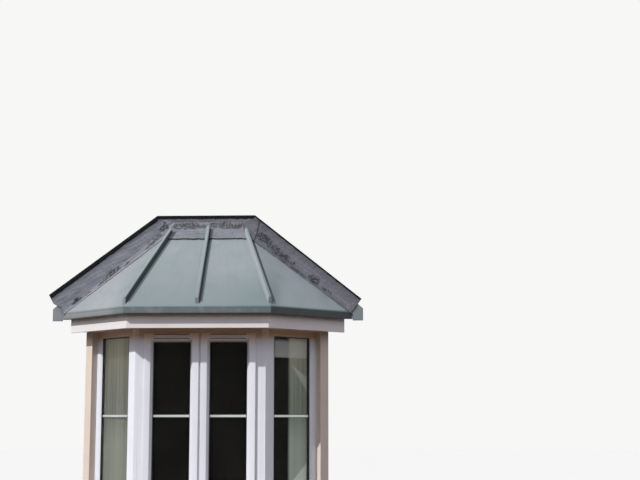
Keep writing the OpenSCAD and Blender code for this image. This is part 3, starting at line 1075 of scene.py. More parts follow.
    @staticmethod
    def beside(paint: Paint, start: Pair, end: Pair) -> Socket:
        """Distance from a straight line on the wall, mirrored at the middle; above it is positive.

        Args:
            paint: the material's nodes.
            start: one point of the line [half width, level].
            end: another, further down or out.

        Returns:
            The distance.
        """
        length = math.dist(start, end)
        run, fall = (end[0] - start[0]) / length, (end[1] - start[1]) / length
        out = paint.math("SUBTRACT", paint.math("ABSOLUTE", paint.at[0]), start[0])
        rise = paint.math("SUBTRACT", paint.at[2], start[1])
        return paint.math("SUBTRACT", paint.times(rise, run), paint.times(out, fall))


@dataclass(frozen=True)
class RollLine:
    """Where a roll runs: x at the drip edge and the wall, gap at its head, depth of its feet."""

    foot: float
    head: float
    gap: float
    drop: float


ROLL_SETBACK = 0.022  # from the drip edge to a roll's foot, and from its head to the end of the dirt and painted shadow
ROLL_LINES = {
    "left": RollLine(-0.615, -0.268, 0.087, 0.030),
    "centre": RollLine(-0.005, 0.011, 0.070, 0.006),
    "right": RollLine(0.604, 0.296, 0.087, 0.026),
}


def roll_dirt_and_shade(paint: Paint) -> Socket:
    """Mask of dirt and painted shadow along the right foot of each roll, from 0.01 m left to 0.044
    m right of it.

    Args:
        paint: the material's nodes.

    Returns:
        The mask.
    """
    s = SIZES
    x, _, z = paint.at
    mask: object = 0.0
    for roll in ROLL_LINES.values():
        lean = (roll.head - roll.foot) / (s.roof_top - s.eaves_top)
        line = paint.math("ADD", paint.times(z, lean), roll.foot - lean * s.eaves_top)
        beside = paint.math("SUBTRACT", x, line)
        band = paint.times(paint.ramp(beside, -0.01, 0.01), paint.ramp(beside, 0.047, 0.041))
        top = s.roof_top - (roll.gap - ROLL_SETBACK) * math.tan(s.pitch)
        mask = paint.math("MAXIMUM", mask, paint.times(band, paint.ramp(z, top, top - 0.012)))
    return paint.times(mask, paint.ramp(z, s.eaves_top + 0.03, s.eaves_top + 0.06))


class CanopyPart(Enum):
    """Parts of the moulding, which are marked differently, the rolls with painted highlight and
    shade.
    """

    SLOPES = "slopes"
    ROLL = "roll"
    FLANGE = "flange"


@dataclass(frozen=True)
class CanopyMoulding:
    """Grey-green moulded canopy: blotchy gel coat, run marks down the slopes and a darker edge.

    The piece's surface coordinates are the distance along the eaves and the distance down from the
    top of the slope, in metres. On a roll they are the distances across it and down it. Each pair
    is where a mark starts and where it is full, in X, in level or across a roll. The colour also
    carries painted light: a paler left side as painted sheen, a painted highlight and painted
    shade on the rolls' sides, dirt and painted shadow beside the rolls, and painted shade on the
    drip edge's arris, its right end and the return under it.
    """

    name: str = "canopy_moulding"
    part: CanopyPart = CanopyPart.SLOPES
    colour: Colour = (0.184, 0.208, 0.226)
    green: Colour = (0.168, 0.204, 0.205)
    pale: Colour = (0.232, 0.246, 0.258)
    low: Colour = (0.117, 0.152, 0.157)
    grime: Colour = (0.08, 0.123, 0.129)
    shade: Colour = (0.022, 0.034, 0.037)
    lip: Colour = (0.085, 0.082, 0.06)
    roll_lit: Colour = (0.3, 0.335, 0.35)
    slope_length: float = 1.01
    left_x: Pair = (-0.52, -0.77)
    right_x: Pair = (0.05, 0.62)
    side_x: Pair = (0.6, 0.7)
    fall_levels: Pair = (2.98, 2.52)
    damp_x: Pair = (0.36, 0.5)
    damp_levels: Pair = (2.7, 2.85)
    roll_lit_side: Pair = (-0.0115, -0.0155)
    roll_shaded_side: Pair = (0.0105, 0.0165)
    paler_left_x: Pair = (-0.68, -0.76)
    shaded_x: Pair = (0.592, 0.604)

    def build(self, effects: Effects) -> bpy.types.Material:
        """Makes the material.

        Args:
            effects: the shared node groups.

        Returns:
            The material.
        """
        paint = Paint(self.name, effects, Specular_IOR_Level=0.3)
        x, _, z = paint.at
        colour = paint.mix(paint.blotches(2.6, low=0.35, high=0.68), self.colour, self.green)
        clouds = paint.blotches(6.5, low=0.5, high=0.78)
        colour = paint.tint(colour, clouds, 0.4, self.pale)
        # Painted sheen: the left side, which faces the light, turns paler.
        left = paint.ramp(x, *self.left_x)
        colour = paint.tint(colour, left, 0.75, self.pale)
        more_right = paint.math("ADD", paint.times(paint.ramp(x, *self.right_x), 0.55), 0.65)
        fall = paint.times(paint.times(paint.ramp(z, *self.fall_levels), 0.95), more_right)
        sides = paint.math("MAXIMUM", left, paint.ramp(x, *self.side_x))
        fall = paint.times(fall, paint.math("SUBTRACT", 1.0, paint.times(sides, 0.9)))
        colour = paint.mix(fall, colour, self.low)
        runs = paint.runs((19.0, 1.1, 1.0), low=0.5, high=0.8, flat=True)
        colour = paint.tint(colour, runs, 0.22, self.grime)
        if self.part is CanopyPart.SLOPES:
            damp = paint.times(paint.ramp(x, *self.damp_x), paint.ramp(z, *self.damp_levels))
            patchy = paint.blotches(4.6, low=0.5, high=0.66)
            damp = paint.times(paint.math("ADD", damp, 0.7), patchy)
            colour = self.drip_and_feet(paint, paint.tint(colour, damp, 0.36, self.low))
        if self.part is CanopyPart.ROLL:
            # Painted highlight on the roll's left side, which faces the light, and painted shade on
            # its right side.
            across = paint.on[0]
            colour = paint.tint(colour, paint.ramp(across, *self.roll_lit_side), 0.75, self.roll_lit)
            colour = paint.tint(colour, paint.ramp(across, *self.roll_shaded_side), 0.92, self.shade)
        grain = paint.grain(fine=260.0, coarse=14.0, share=0.25)
        return paint.dress(colour, clouds, (0.45, 0.65), grain, depth=0.0012)

    def drip_and_feet(self, paint: Paint, colour: Socket) -> Socket:
        """Lays dirt and painted shade on the drip edge and its return, and beside each roll.

        Args:
            paint: the material's nodes.
            colour: colour so far.

        Returns:
            The new colour.
        """
        x, down, end = paint.at[0], paint.on[1], self.slope_length
        # Dirt and painted shadow beside each roll's right foot, on the side away from the light.
        colour = paint.tint(colour, roll_dirt_and_shade(paint), 0.8, self.shade)
        edge = paint.ramp(down, end - 0.030, end + 0.004)
        stain = paint.times(paint.blotches(14.0, low=0.3, high=0.62), 0.35)
        colour = paint.mix(paint.times(edge, paint.math("ADD", stain, 0.22)), colour, self.grime)
        # Paler patches, and the drip edge paler towards its left end.
        washed = paint.times(paint.blotches(9.0, low=0.5, high=0.64), 0.4)
        paler_parts = paint.math("MAXIMUM", washed, paint.times(paint.ramp(x, *self.paler_left_x), 0.7))
        colour = paint.tint(colour, paler_parts, edge, self.pale)
        # Painted shade along the rounded arris of the drip edge.
        arris = paint.times(
            paint.ramp(down, end - 0.022, end - 0.006), paint.ramp(down, end + 0.013, end + 0.004)
        )
        colour = paint.tint(colour, arris, 0.3, self.shade)
        # Painted shade on the drip edge's right end, which faces away from the light.
        right = paint.times(paint.ramp(x, *self.shaded_x), edge)
        colour = paint.tint(colour, right, 0.8, self.shade)
        # Painted shade, dark brown, on the return under the drip edge.
        return paint.tint(colour, paint.ramp(down, end + 0.036, end + 0.05), 0.6, self.lip)


@dataclass(frozen=True)
class SawnTimber:
    """Sawn softwood with long grain along X and a few darker bands."""

    name: str = "sawn_timber"
    colour: Colour = (0.52, 0.36, 0.21)
    dark: Colour = (0.33, 0.2, 0.1)

    def build(self, effects: Effects) -> bpy.types.Material:
        """Makes the material.

        Args:
            effects: the shared node groups.

        Returns:
            The material.
        """
        paint = Paint(self.name, effects, Specular_IOR_Level=0.25)
        bands = paint.runs((3.0, 60.0, 60.0), low=0.4, high=0.7)
        fine = paint.runs((8.0, 260.0, 260.0), low=0.35, high=0.75)
        colour = paint.tint(paint.tint(self.colour, bands, 0.7, self.dark), fine, 0.3, self.dark)
        return paint.dress(colour, fine, (0.65, 0.85), fine, depth=0.0006)


class Finishes:
    """Every finish of the bay, built once."""

    def __init__(self) -> None:
        """Builds the shared effects and the materials."""
        effects = Effects()
        self.render = Weathered(
            "painted_render", (0.65, 0.56, 0.485), (0.56, 0.475, 0.405), stain_scale=3.0,
            stain_amount=0.35, streak=(0.42, 0.35, 0.3), streak_amount=0.16, roughness=0.82,
            grain_fine=330.0, grain_coarse=95.0, grain_share=0.45, grain_depth=0.0028, specular=0.2,
        ).build(effects)
        self.floor = Weathered(
            "floor_screed", (0.40, 0.39, 0.37), (0.32, 0.31, 0.29), stain_scale=6.0,
            roughness=0.75, grain_depth=0.0006, specular=0.25,
        ).build(effects)
        self.stone = Weathered(
            "cast_stone", (0.60, 0.54, 0.44), (0.50, 0.43, 0.33), stain_scale=8.0,
            stain_amount=0.5, streak=(0.4, 0.36, 0.3), streak_amount=0.25, roughness=0.85,
            grain_fine=520.0, grain_coarse=120.0, grain_share=0.6, grain_depth=0.0012, specular=0.2,
        ).build(effects)
        self.mortar = Weathered(
            "stone_mortar", (0.42, 0.38, 0.32), (0.33, 0.3, 0.25), stain_scale=20.0,
            roughness=0.9, grain_depth=0.0012, specular=0.15,
        ).build(effects)
        # The frame plastics darken and warm towards their heads: painted shade and bounce light
        # under the soffit.
        plastic = Weathered(
            "white_frame_plastic", (0.745, 0.762, 0.828), (0.675, 0.68, 0.705), stain_scale=3.5,
            stain_amount=0.35, streak=(0.52, 0.51, 0.49), streak_amount=0.1, roughness=0.32,
            grain_fine=900.0, grain_coarse=12.0, grain_share=0.2, grain_depth=0.0003, specular=0.2,
            soffit_shade=(0.86, 0.71, 0.585), soffit_shade_amount=0.8, soffit_shade_levels=(2.18, 2.27),
        )
        outer_frame = replace(
            plastic, name="outer_frame_plastic", colour=(0.724, 0.742, 0.802),
            stain=(0.655, 0.66, 0.68), soffit_shade=(0.668, 0.45, 0.28), soffit_shade_amount=0.85,
            soffit_shade_levels=(2.235, 2.3),
        )
        self.plastic = plastic.build(effects)
        # Paler than the frame plastic: painted highlight on the vent hoods and the lips under them.
        self.vent_highlight = Weathered(
            "vent_plastic_highlight", (0.83, 0.815, 0.82), (0.76, 0.74, 0.73), stain_scale=3.5,
            stain_amount=0.3, roughness=0.32, grain_depth=0.0003, specular=0.2,
        ).build(effects)
        self.bar = Weathered(
            "bar_enamel", (0.66, 0.67, 0.695), (0.59, 0.6, 0.61), stain_scale=9.0,
            stain_amount=0.3, roughness=0.4, grain_depth=0.0001, specular=0.3,
        ).build(effects)
        self.frame_plastic = outer_frame.build(effects)
        self.post_plastic = replace(
            outer_frame, name="post_plastic", soffit_shade=(0.88, 0.74, 0.56), soffit_shade_amount=0.9,
            soffit_shade_levels=(2.2, 2.29),
        ).build(effects)
        self.sill = replace(
            plastic, name="sill_plastic", colour=(0.72, 0.73, 0.785), stain=(0.6, 0.6, 0.6),
            stain_scale=5.0, stain_amount=0.5, streak=(0.45, 0.44, 0.41), streak_amount=0.3,
            roughness=0.4, soffit_shade_amount=0.0, dust_amount=0.85,
        ).build(effects)
        self.fascia = Weathered(
            "fascia_board", (0.712, 0.688, 0.69), (0.65, 0.61, 0.585), stain_scale=5.0,
            stain_amount=0.4, streak=(0.5, 0.46, 0.42), streak_amount=0.15,
            streak_stretch=(3.0, 3.0, 40.0), roughness=0.42, grain_depth=0.0004, specular=0.22,
        ).build(effects)
        self.board = Weathered(
            "painted_board", (0.74, 0.73, 0.70), (0.68, 0.66, 0.62), stain_amount=0.3,
            roughness=0.38, grain_fine=600.0, grain_coarse=22.0, grain_depth=0.0003,
        ).build(effects)
        self.ceiling = Weathered(
            "ceiling_paint", (0.76, 0.76, 0.74), (0.71, 0.7, 0.68), stain_amount=0.25,
            roughness=0.9, grain_fine=420.0, grain_depth=0.0004, specular=0.15,
        ).build(effects)
        self.handle = Weathered(
            "handle_enamel", (0.74, 0.745, 0.765), (0.66, 0.66, 0.67), stain_amount=0.2,
            roughness=0.25, grain_depth=0.0001, coat=0.3,
        ).build(effects)
        # Black of the glazing gaskets, also the painted shadow strips at the vent hoods.
        self.gasket_and_shadow = Weathered(
            "glazing_gasket_and_shadow", (0.028, 0.028, 0.03), (0.06, 0.06, 0.058), stain_scale=40.0,
            roughness=0.6, grain_depth=0.0002, specular=0.3,
        ).build(effects)
        self.spacer = Weathered(
            "unit_spacer", (0.03, 0.03, 0.032), (0.05, 0.05, 0.05), stain_scale=60.0,
            roughness=0.55, grain_depth=0.0001, specular=0.15,
        ).build(effects)
        # Black bead along the lead's outer edge: painted shadow cast on the lead by the edge above
        # it.
        self.edge_shadow_finish = Weathered(
            "black_shadow_bead", (0.007, 0.0075, 0.009), (0.024, 0.025, 0.028), stain_scale=14.0,
            roughness=0.75, grain_fine=160.0, grain_coarse=30.0, grain_depth=0.002, specular=0.08,
        ).build(effects)
        self.timber = SawnTimber().build(effects)
        self.canopy = CanopyMoulding().build(effects)
        self.canopy_roll = CanopyMoulding("canopy_roll_moulding", CanopyPart.ROLL).build(effects)
        self.canopy_flange = CanopyMoulding(
            "canopy_flange_moulding", CanopyPart.FLANGE
        ).build(effects)
        self.lead = {
            Face.LEFT: DressedLead(
                "dressed_lead_left", pale_edge=0.35, outer=((0.4427, 3.3447), (1.372, 2.660)),
                marks=(
                    (0.086, 0.12, 0.05, 0.04), (0.225, 0.06, 0.095, 0.05),
                    (0.52, 0.03, 0.032, 0.026), (0.69, 0.045, 0.09, 0.045),
                    (0.81, 0.026, 0.045, 0.02), (0.946, 0.026, 0.04, 0.018),
                    (1.075, 0.038, 0.065, 0.03),
                ),
            ).build(effects),
            # Right sheet: darker as a whole as painted shade, with less painted shadow at its outer
            # edge.
            Face.RIGHT: DressedLead(
                "dressed_lead_right", sheet_shade=0.5, outer_shadow=0.3,
                outer=((0.4067, 3.3447), (1.3227, 2.6173)),
                seam=((0.4585, 3.345), (0.4145, 3.145)),
                marks=(
                    (0.23, 0.1, 0.075, 0.045), (0.44, 0.062, 0.15, 0.048), (0.8, 0.05, 0.06, 0.04),
                    (0.94, 0.045, 0.06, 0.02), (0.62, 0.02, 0.1, 0.012),
                ),
            ).build(effects),
            Face.FRONT: DressedLead(
                "apron_lead", colour=(0.12, 0.129, 0.15), bloom=(0.2, 0.205, 0.215),
                deep=(0.062, 0.066, 0.075), lap_darkening=0.0, by_rolls=True,
                marks=((2.84, 0.033, 0.2, 0.042), (3.15, 0.033, 0.22, 0.042)),
            ).build(effects),
        }
        self.clear = ClearGlass().build(effects)
        self.pane_dark = RoomPane("front_inner_pane", PaneLook.DARK).build(effects)
        self.pane_left = RoomPane("left_inner_pane", PaneLook.STREAKED).build(effects)
        self.pane_right = RoomPane(
            "right_inner_pane", PaneLook.HALF_DARK, pale=(0.21, 0.222, 0.195),
            middle=(0.133, 0.142, 0.122), low=(0.39, 0.44, 0.40), split=0.715,
        ).build(effects)


# Pieces


@dataclass
class Masonry:
    """Rendered dwarf wall, nibs, cast stone course and floor slab."""

    finishes: Finishes
    plinth_setback: float = 0.012
    bell_flare: float = 0.01
    bell_height: float = 0.045
    stone_depth: float = 0.14
    stone_projection: float = 0.01
    weathering: float = 0.008
    joint: float = 0.006
    joint_setback: float = 0.003
    corner_radius: float = 0.012

    def build(self) -> None:
        """Builds every piece of the masonry."""
        self.dwarf_wall()
        self.stone_course()
        self.stone_joints()
        for node in ("nib_left", "nib_right"):
            soft_copy(node, self.finishes.render, "render", 0.005, 3)
        soft_copy("floor_slab", self.finishes.floor, "floor", 0.003)

    def dwarf_wall(self) -> None:
        """Carries the wall's section round the three faces as one wall.

        Each point of the section keeps its distance from the frame line, so the corners are mitred.
        The outer face moves in and out by ripples of under 1.5 mm, as trowelled render does.
        """
        s = SIZES
        front, back = s.reveal, s.reveal - s.wall_thickness
        leaf = s.reveal - self.stone_depth
        outline = [
            (front - self.plinth_setback, 0.0),
            (front - self.plinth_setback, s.plinth_top),
            (front + self.bell_flare, s.plinth_top),
            (front + self.bell_flare, s.plinth_top + 0.006),
            (front, s.plinth_top + self.bell_height),
            (front, s.render_top),
            (leaf, s.render_top),
            (leaf, s.stone_top),
            (back, s.stone_top),
            (back, 0.0),
        ]
        radii = [0.004, 0.002, 0.003, 0.002, 0.03, 0.006, 0.0, 0.002, 0.003, 0.003]
        section = subdivide_long_edges(round_corners(outline, radii), 0.05)
        grid = sweep_round_bay(section, s.frame, 26, 46, self.corner_radius)
        outer = smooth_step(section[:, 0], leaf, front - 0.02)[:, None]
        wave = ripples(path_lengths(grid, 1), grid[..., 2], (0.32, 11, 0.0009), (0.07, 12, 0.0003))
        grid[..., 1] -= wave * outer * smooth_step(HOUSE_WALL_Y - grid[..., 1], 0.0, 0.05)
        nodes = ("dwarf_wall_front", "dwarf_wall_left", "dwarf_wall_right")
        add_solid("dwarf_wall", [np.swapaxes(grid, 0, 1)], self.finishes.render, "render", nodes)

    def stone_section(self) -> Array:
        """Section of one cast stone, with its arrises worn round.

        Returns:
            Points [out, up].
        """
        s = SIZES
        outline = [
            (s.reveal - self.stone_depth, s.render_top),
            (s.reveal + self.stone_projection, s.render_top),
            (s.reveal + self.stone_projection, s.stone_top - self.weathering),
            (s.reveal, s.stone_top),
            (s.reveal - self.stone_depth, s.stone_top),
        ]
        return round_corners(outline, [0.001, 0.004, 0.004, 0.003, 0.001], 3)

    @staticmethod
    def block(face: Face, section: Array, start: Array, end: Array, steps: int) -> Array:
        """Carries a section along a face, from where each of its points starts to where it ends."""
        along = start + np.linspace(0, 1, steps)[:, None] * (end - start)
        return place(face, SIZES.frame, stack(along, section[:, 0], section[:, 1]))

    def stone_course(self) -> None:
        """Lays the stones of each face, with gaps for the mortar between them.

        A stone is the section carried from one joint to the next. At a corner of the bay its end
        follows the mitre, so its reach along the face grows with the distance out.
        """
        s = SIZES
        section = self.stone_section()
        out = section[:, 0]
        gap = self.joint / 2
        corner = corner_x(s.frame) + out * MITRE - gap
        side = (gap - out * MITRE, s.frame[1] / math.sin(SPLAY) + out / math.tan(SPLAY))
        for face, stones in (
            (Face.FRONT, [(-corner, -gap), (gap, corner)]),
            (Face.LEFT, [side]),
            (Face.RIGHT, [side]),
        ):
            node = "stone_course_" + face.name.lower()
            blocks = [self.block(face, section, start, end, 12) for start, end in stones]
            add_solid(node + "_stones", blocks, self.finishes.stone, "cast_stone", (node,))

    def stone_joints(self) -> None:
        """Fills the joints with mortar, set back a little from the stones' faces."""
        section = self.stone_section()
        centre = section.mean(0)
        half_stone = (self.stone_depth + self.stone_projection) / 2
        section = centre + (section - centre) * (1 - self.joint_setback / half_stone)
        half = corner_x(SIZES.frame) + section[:, 0] * MITRE
        reach = self.joint / 2 + 0.001
        middles = (-half, np.zeros_like(half), half)
        blocks = [self.block(Face.FRONT, section, m - reach, m + reach, 2) for m in middles]
        add_solid("stone_joints", blocks, self.finishes.mortar, "cast_stone")


def sweep_round_bay(
    section: Array,
    line: Line,
    side_steps: int,
    front_steps: int,
    radius: float,
    corner_steps: int = 5,
) -> Array:
    """Carries a section round the left, front and right faces of a plan line.

    For each section point the plan line is moved out by the point's first number, so that the
    faces stay square to their own direction and meet in mitres. Each corner is eased by a short
    quadratic curve between points that are a radius away from it.

    Args:
        section: points [out, up].
        line: plan line that the section is measured from.
        side_steps: steps along each side.
        front_steps: steps along the front.
        radius: length over which each corner is eased.
        corner_steps: steps along each corner.

    Returns:
        Array of points, section by path by 3.
    """
    out, up = section[:, 0:1], section[:, 1:2]
    width = line[0] + out / math.sin(SPLAY)
    reach = line[1] + out
    half = width - reach / math.tan(SPLAY)
    side_length = reach / math.sin(SPLAY)
    ease = np.clip(radius / np.maximum(side_length, 1e-6), 0, 0.4)
    side = np.linspace(0, 1, side_steps + 1) * (1 - ease)
    left = stack(-width + (width - half) * side, reach * side)
    front = stack(np.linspace(-1, 1, front_steps + 1) * (half - radius), reach)
    corner = stack(-half, reach)
    w = np.linspace(0, 1, corner_steps + 1)[1:-1, None]
    curve = (1 - w) ** 2 * left[:, -1:] + 2 * w * (1 - w) * corner + w**2 * front[:, :1]
    path = np.concatenate([left, curve, front, curve[:, ::-1] * FLIP, left[:, ::-1] * FLIP], 1)
    return stack(path[..., 0], HOUSE_WALL_Y - path[..., 1], up)


@dataclass(frozen=True)
class Light:
    """The glass of one light: its face, its middle along the face, its size and its lower edge."""

    name: str
    face: Face
    centre: float
    width: float
    low: float
    height: float


@dataclass
class Joinery:
    """Sill, frames, casements, posts, fittings and glass."""

    finishes: Finishes
    post_half: float = 0.0319949
    post_proud: float = 0.0005
    strip_proud: float = 0.0016
    side_width: float = 0.5309748
    side_sightline: float = 0.072
    sash_sightline: float = 0.061
    sash_frame: float = 0.056
    sash_gap: float = 0.004
    mullion_half: float = 0.0155
    glass_setback: float = 0.014
    glass_thickness: float = 0.028
    groove: float = 0.015
    edge_gap: float = 0.003
    pane: float = 0.004
    spacer: Pair = (0.004, 0.0165)
    seal: float = 0.0025
    bar_height: float = 0.019
    bar_depth: float = 0.017
    bar_level: float = 1.626

    def build(self) -> None:
        """Builds every piece of the joinery."""
        f = self.finishes
        faces, sides = ("front", "left", "right"), ("left", "right")
        for part, places, material, radius, segments in (
            ("sill", faces, f.sill, 0.0015, 2),
            ("casement", sides, f.plastic, 0.0045, 3),
            ("frame", faces, f.frame_plastic, 0.0018, 2),
            ("corner_post", sides, f.post_plastic, 0.002, 3),
            ("trickle_vent", sides, f.vent_highlight, 0.0015, 2),
        ):
            for side in places:
                piece = soft_copy(f"{part}_{side}", material, "frame_plastic", radius, segments)
                if part == "corner_post":
                    self.set_flush(piece.data)
        for side in sides:
            self.vent_strips("trickle_vent_" + side)
        for side in sides:
            soft_copy("handle_" + side, f.handle, "handle_metal", 0.003, 3)
        self.lights()

    def vent_strips(self, node: str) -> None:
        """Lays a dark slot and a pale lip below a vent hood, and a dark gap above it.

        The slot is the vent's own slot, darkened as painted shadow under the hood; the lip is a
        painted highlight and the gap a painted shadow line. Each is a flat strip with rounded
        edges, set on the sash.

        Args:
            node: the hood.
        """
        low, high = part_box(node)
        ends = np.array([low.x + 0.004, high.x - 0.004])[:, None]
        near, far = high.y - self.strip_proud, high.y
        # slot: the vent's slot with painted shadow; lip: painted highlight; gap: painted shadow
        # line.
        for label, foot, head, material in (
            ("slot", low.z - 0.0065, low.z + 0.001, self.finishes.gasket_and_shadow),
            ("lip", low.z - 0.0185, low.z - 0.0075, self.finishes.vent_highlight),
            ("gap", low.z + 0.029, low.z + 0.035, self.finishes.gasket_and_shadow),
        ):
            outline = [(far, head), (near, head), (near, foot), (far, foot)]
            section = round_corners(outline, [0.0, 0.0004, 0.0004, 0.0], 2)
            grid = stack(ends, section[:, 0], section[:, 1])
            add_solid(f"{node}_{label}", [grid], material, "frame_plastic")

    def set_flush(self, mesh: bpy.types.Mesh) -> None:
        """Sets a post's outer faces 0.5 mm in front of the frames, to read as one surface.

        A point's distance out of the front line is its reach less the line's. Out of the side line
        it is the sum of half width and reach, less the line's, over the root of two. What is above
        0.5 mm is taken off along the face's normal, front and side in turn.

        Args:
            mesh: the post's mesh, changed in place.
        """
        points = np.zeros(len(mesh.vertices) * 3)
        mesh.vertices.foreach_get("co", points)
        points = points.reshape(-1, 3)
        side = np.sign(points[:, 0].mean())
        across, reach = points[:, 0] * side, HOUSE_WALL_Y - points[:, 1]
        for _ in range(6):
            reach -= np.maximum(0.0, reach - SIZES.frame[1] - self.post_proud)
            past = (across + reach - SIZES.frame[0]) / math.sqrt(2)
            spare = np.maximum(0.0, past - self.post_proud)
            across -= spare / math.sqrt(2)
            reach -= spare / math.sqrt(2)
        points[:, 0], points[:, 1] = across * side, HOUSE_WALL_Y - reach
        mesh.vertices.foreach_set("co", points.ravel())
        mesh.update()

    def lights(self) -> None:
        """Builds the four sealed units, each in the frame of its own face."""
        s, f = SIZES, self.finishes
        surround = self.sash_frame + self.sash_gap
        casement = corner_x(s.frame) - self.post_half - self.mullion_half - surround - self.sash_gap
        centre = self.mullion_half + self.sash_gap + casement / 2
        height = s.frame_top - s.frame_bottom
        sash = (casement, s.frame_bottom + surround, height - 2 * surround, self.sash_sightline)
        side_centre = self.post_half + self.side_width / 2
        side = (self.side_width, s.frame_bottom, height, self.side_sightline)
        for name, face, middle, (width, low, tall, sightline), inner in (
            ("casement_left", Face.FRONT, -centre, sash, f.pane_dark),
            ("casement_right", Face.FRONT, centre, sash, f.pane_dark),
            ("side_left", Face.LEFT, side_centre, side, f.pane_left),
            ("side_right", Face.RIGHT, side_centre, side, f.pane_right),
        ):
            edge = sightline - self.groove + self.edge_gap
            light = Light(name, face, middle, width - 2 * edge, low + edge, tall - 2 * edge)
            self.unit(light, inner)

    def unit(self, light: Light, inner: bpy.types.Material) -> None:
        """Builds a sealed unit: two panes, a spacer, two gaskets and a flat bar between the panes.

        Args:
            light: its glass.
            inner: material of the inner pane.
        """
        f = self.finishes
        front, back = self.glass_setback, self.glass_setback + self.glass_thickness
        gap_front, gap_back = front + self.pane, back - self.pane
        half = light.width / 2
        for label, near, far, material, nodes in (
            ("outer", front, gap_front, f.clear, (f"glass_{light.name}",)),
            ("inner", gap_back, back, inner, ()),
        ):
            corners = [(-half, near), (half, near), (half, far), (-half, far)]
            outline = round_corners(corners, 0.0006, 2)
            levels = np.array([light.low, light.low + light.height])[:, None]
            grid = stack(light.centre + outline[:, 0], -outline[:, 1], levels)
            points = place(light.face, SIZES.frame, grid)
            add_solid(f"{light.name}_{label}_pane", [points], material, "glass", nodes)
        low, high = self.spacer
        outline = [(low, gap_front), (high, gap_front), (high, gap_back), (low, gap_back)]
        self.ring(light, "spacer", round_corners(outline, 0.001, 2), f.spacer, "glass")
        lip = self.groove - self.edge_gap
        for label, start, end in (
            ("outside_gasket", front - self.seal, front),
            ("inside_gasket", back, back + self.seal),
        ):
            outline = [
                (lip - 0.004, start), (lip + 0.0025, start), (lip + 0.0035, end), (lip - 0.004, end)
            ]
            section = round_corners(outline, 0.0006, 2)
            self.ring(light, label, section, f.gasket_and_shadow, "frame_plastic")
        y, z, middle = self.bar_depth / 2, self.bar_height / 2, (front + back) / 2
        section = round_corners([(-y, -z), (y, -z), (y, z), (-y, z)], 0.003, 3)
        ends = light.centre + FLIP[:, None] * (half - self.spacer[1] - 0.001)
        grid = stack(ends, section[:, 0] - middle, self.bar_level + section[:, 1])
        bar = place(light.face, SIZES.frame, grid)
        add_solid(light.name + "_bar", [bar], f.bar, "frame_plastic")

    @staticmethod
    def ring(
        light: Light, label: str, section: Array, material: bpy.types.Material, slot: str
    ) -> None:
        """Carries a section round the edge of a light's glass, mitred at its four corners.

        Args:
            light: the light.
            label: what follows the light's name in the piece's name.
            section: points [inset from the edge, depth behind the frame's face].
            material: finish.
            slot: the record's material slot.
        """
        inset = section[:, 0]
        right, low = light.width / 2 - inset, light.low + inset
        high = light.low + light.height - inset
        x, z = np.stack([-right, right, right, -right]), np.stack([low, low, high, high])
        grid = place(light.face, SIZES.frame, stack(light.centre + x, -section[:, 1], z))
        add_solid(f"{light.name}_{label}", [grid], material, slot, wrap_rows=True)


@dataclass
class Head:
    """Boards and timbers between the frames and the canopy, and the boards inside."""

    finishes: Finishes

    def build(self) -> None:
        """Dresses each board."""
        f = self.finishes
        for part in ("front", "left", "right"):
            soft_copy(f"fascia_{part}", f.fascia, "fascia_plastic", 0.002, 3)
            soft_copy(f"soffit_{part}", f.fascia, "fascia_plastic", 0.001)
            soft_copy(f"head_plate_{part}", f.timber, "timber", 0.002)
        soft_copy("roof_deck", f.timber, "timber", 0.001)
        soft_copy("window_board", f.board, "board_paint", 0.004, 3)
        soft_copy("ceiling_board", f.ceiling, "ceiling_paint", 0.001)


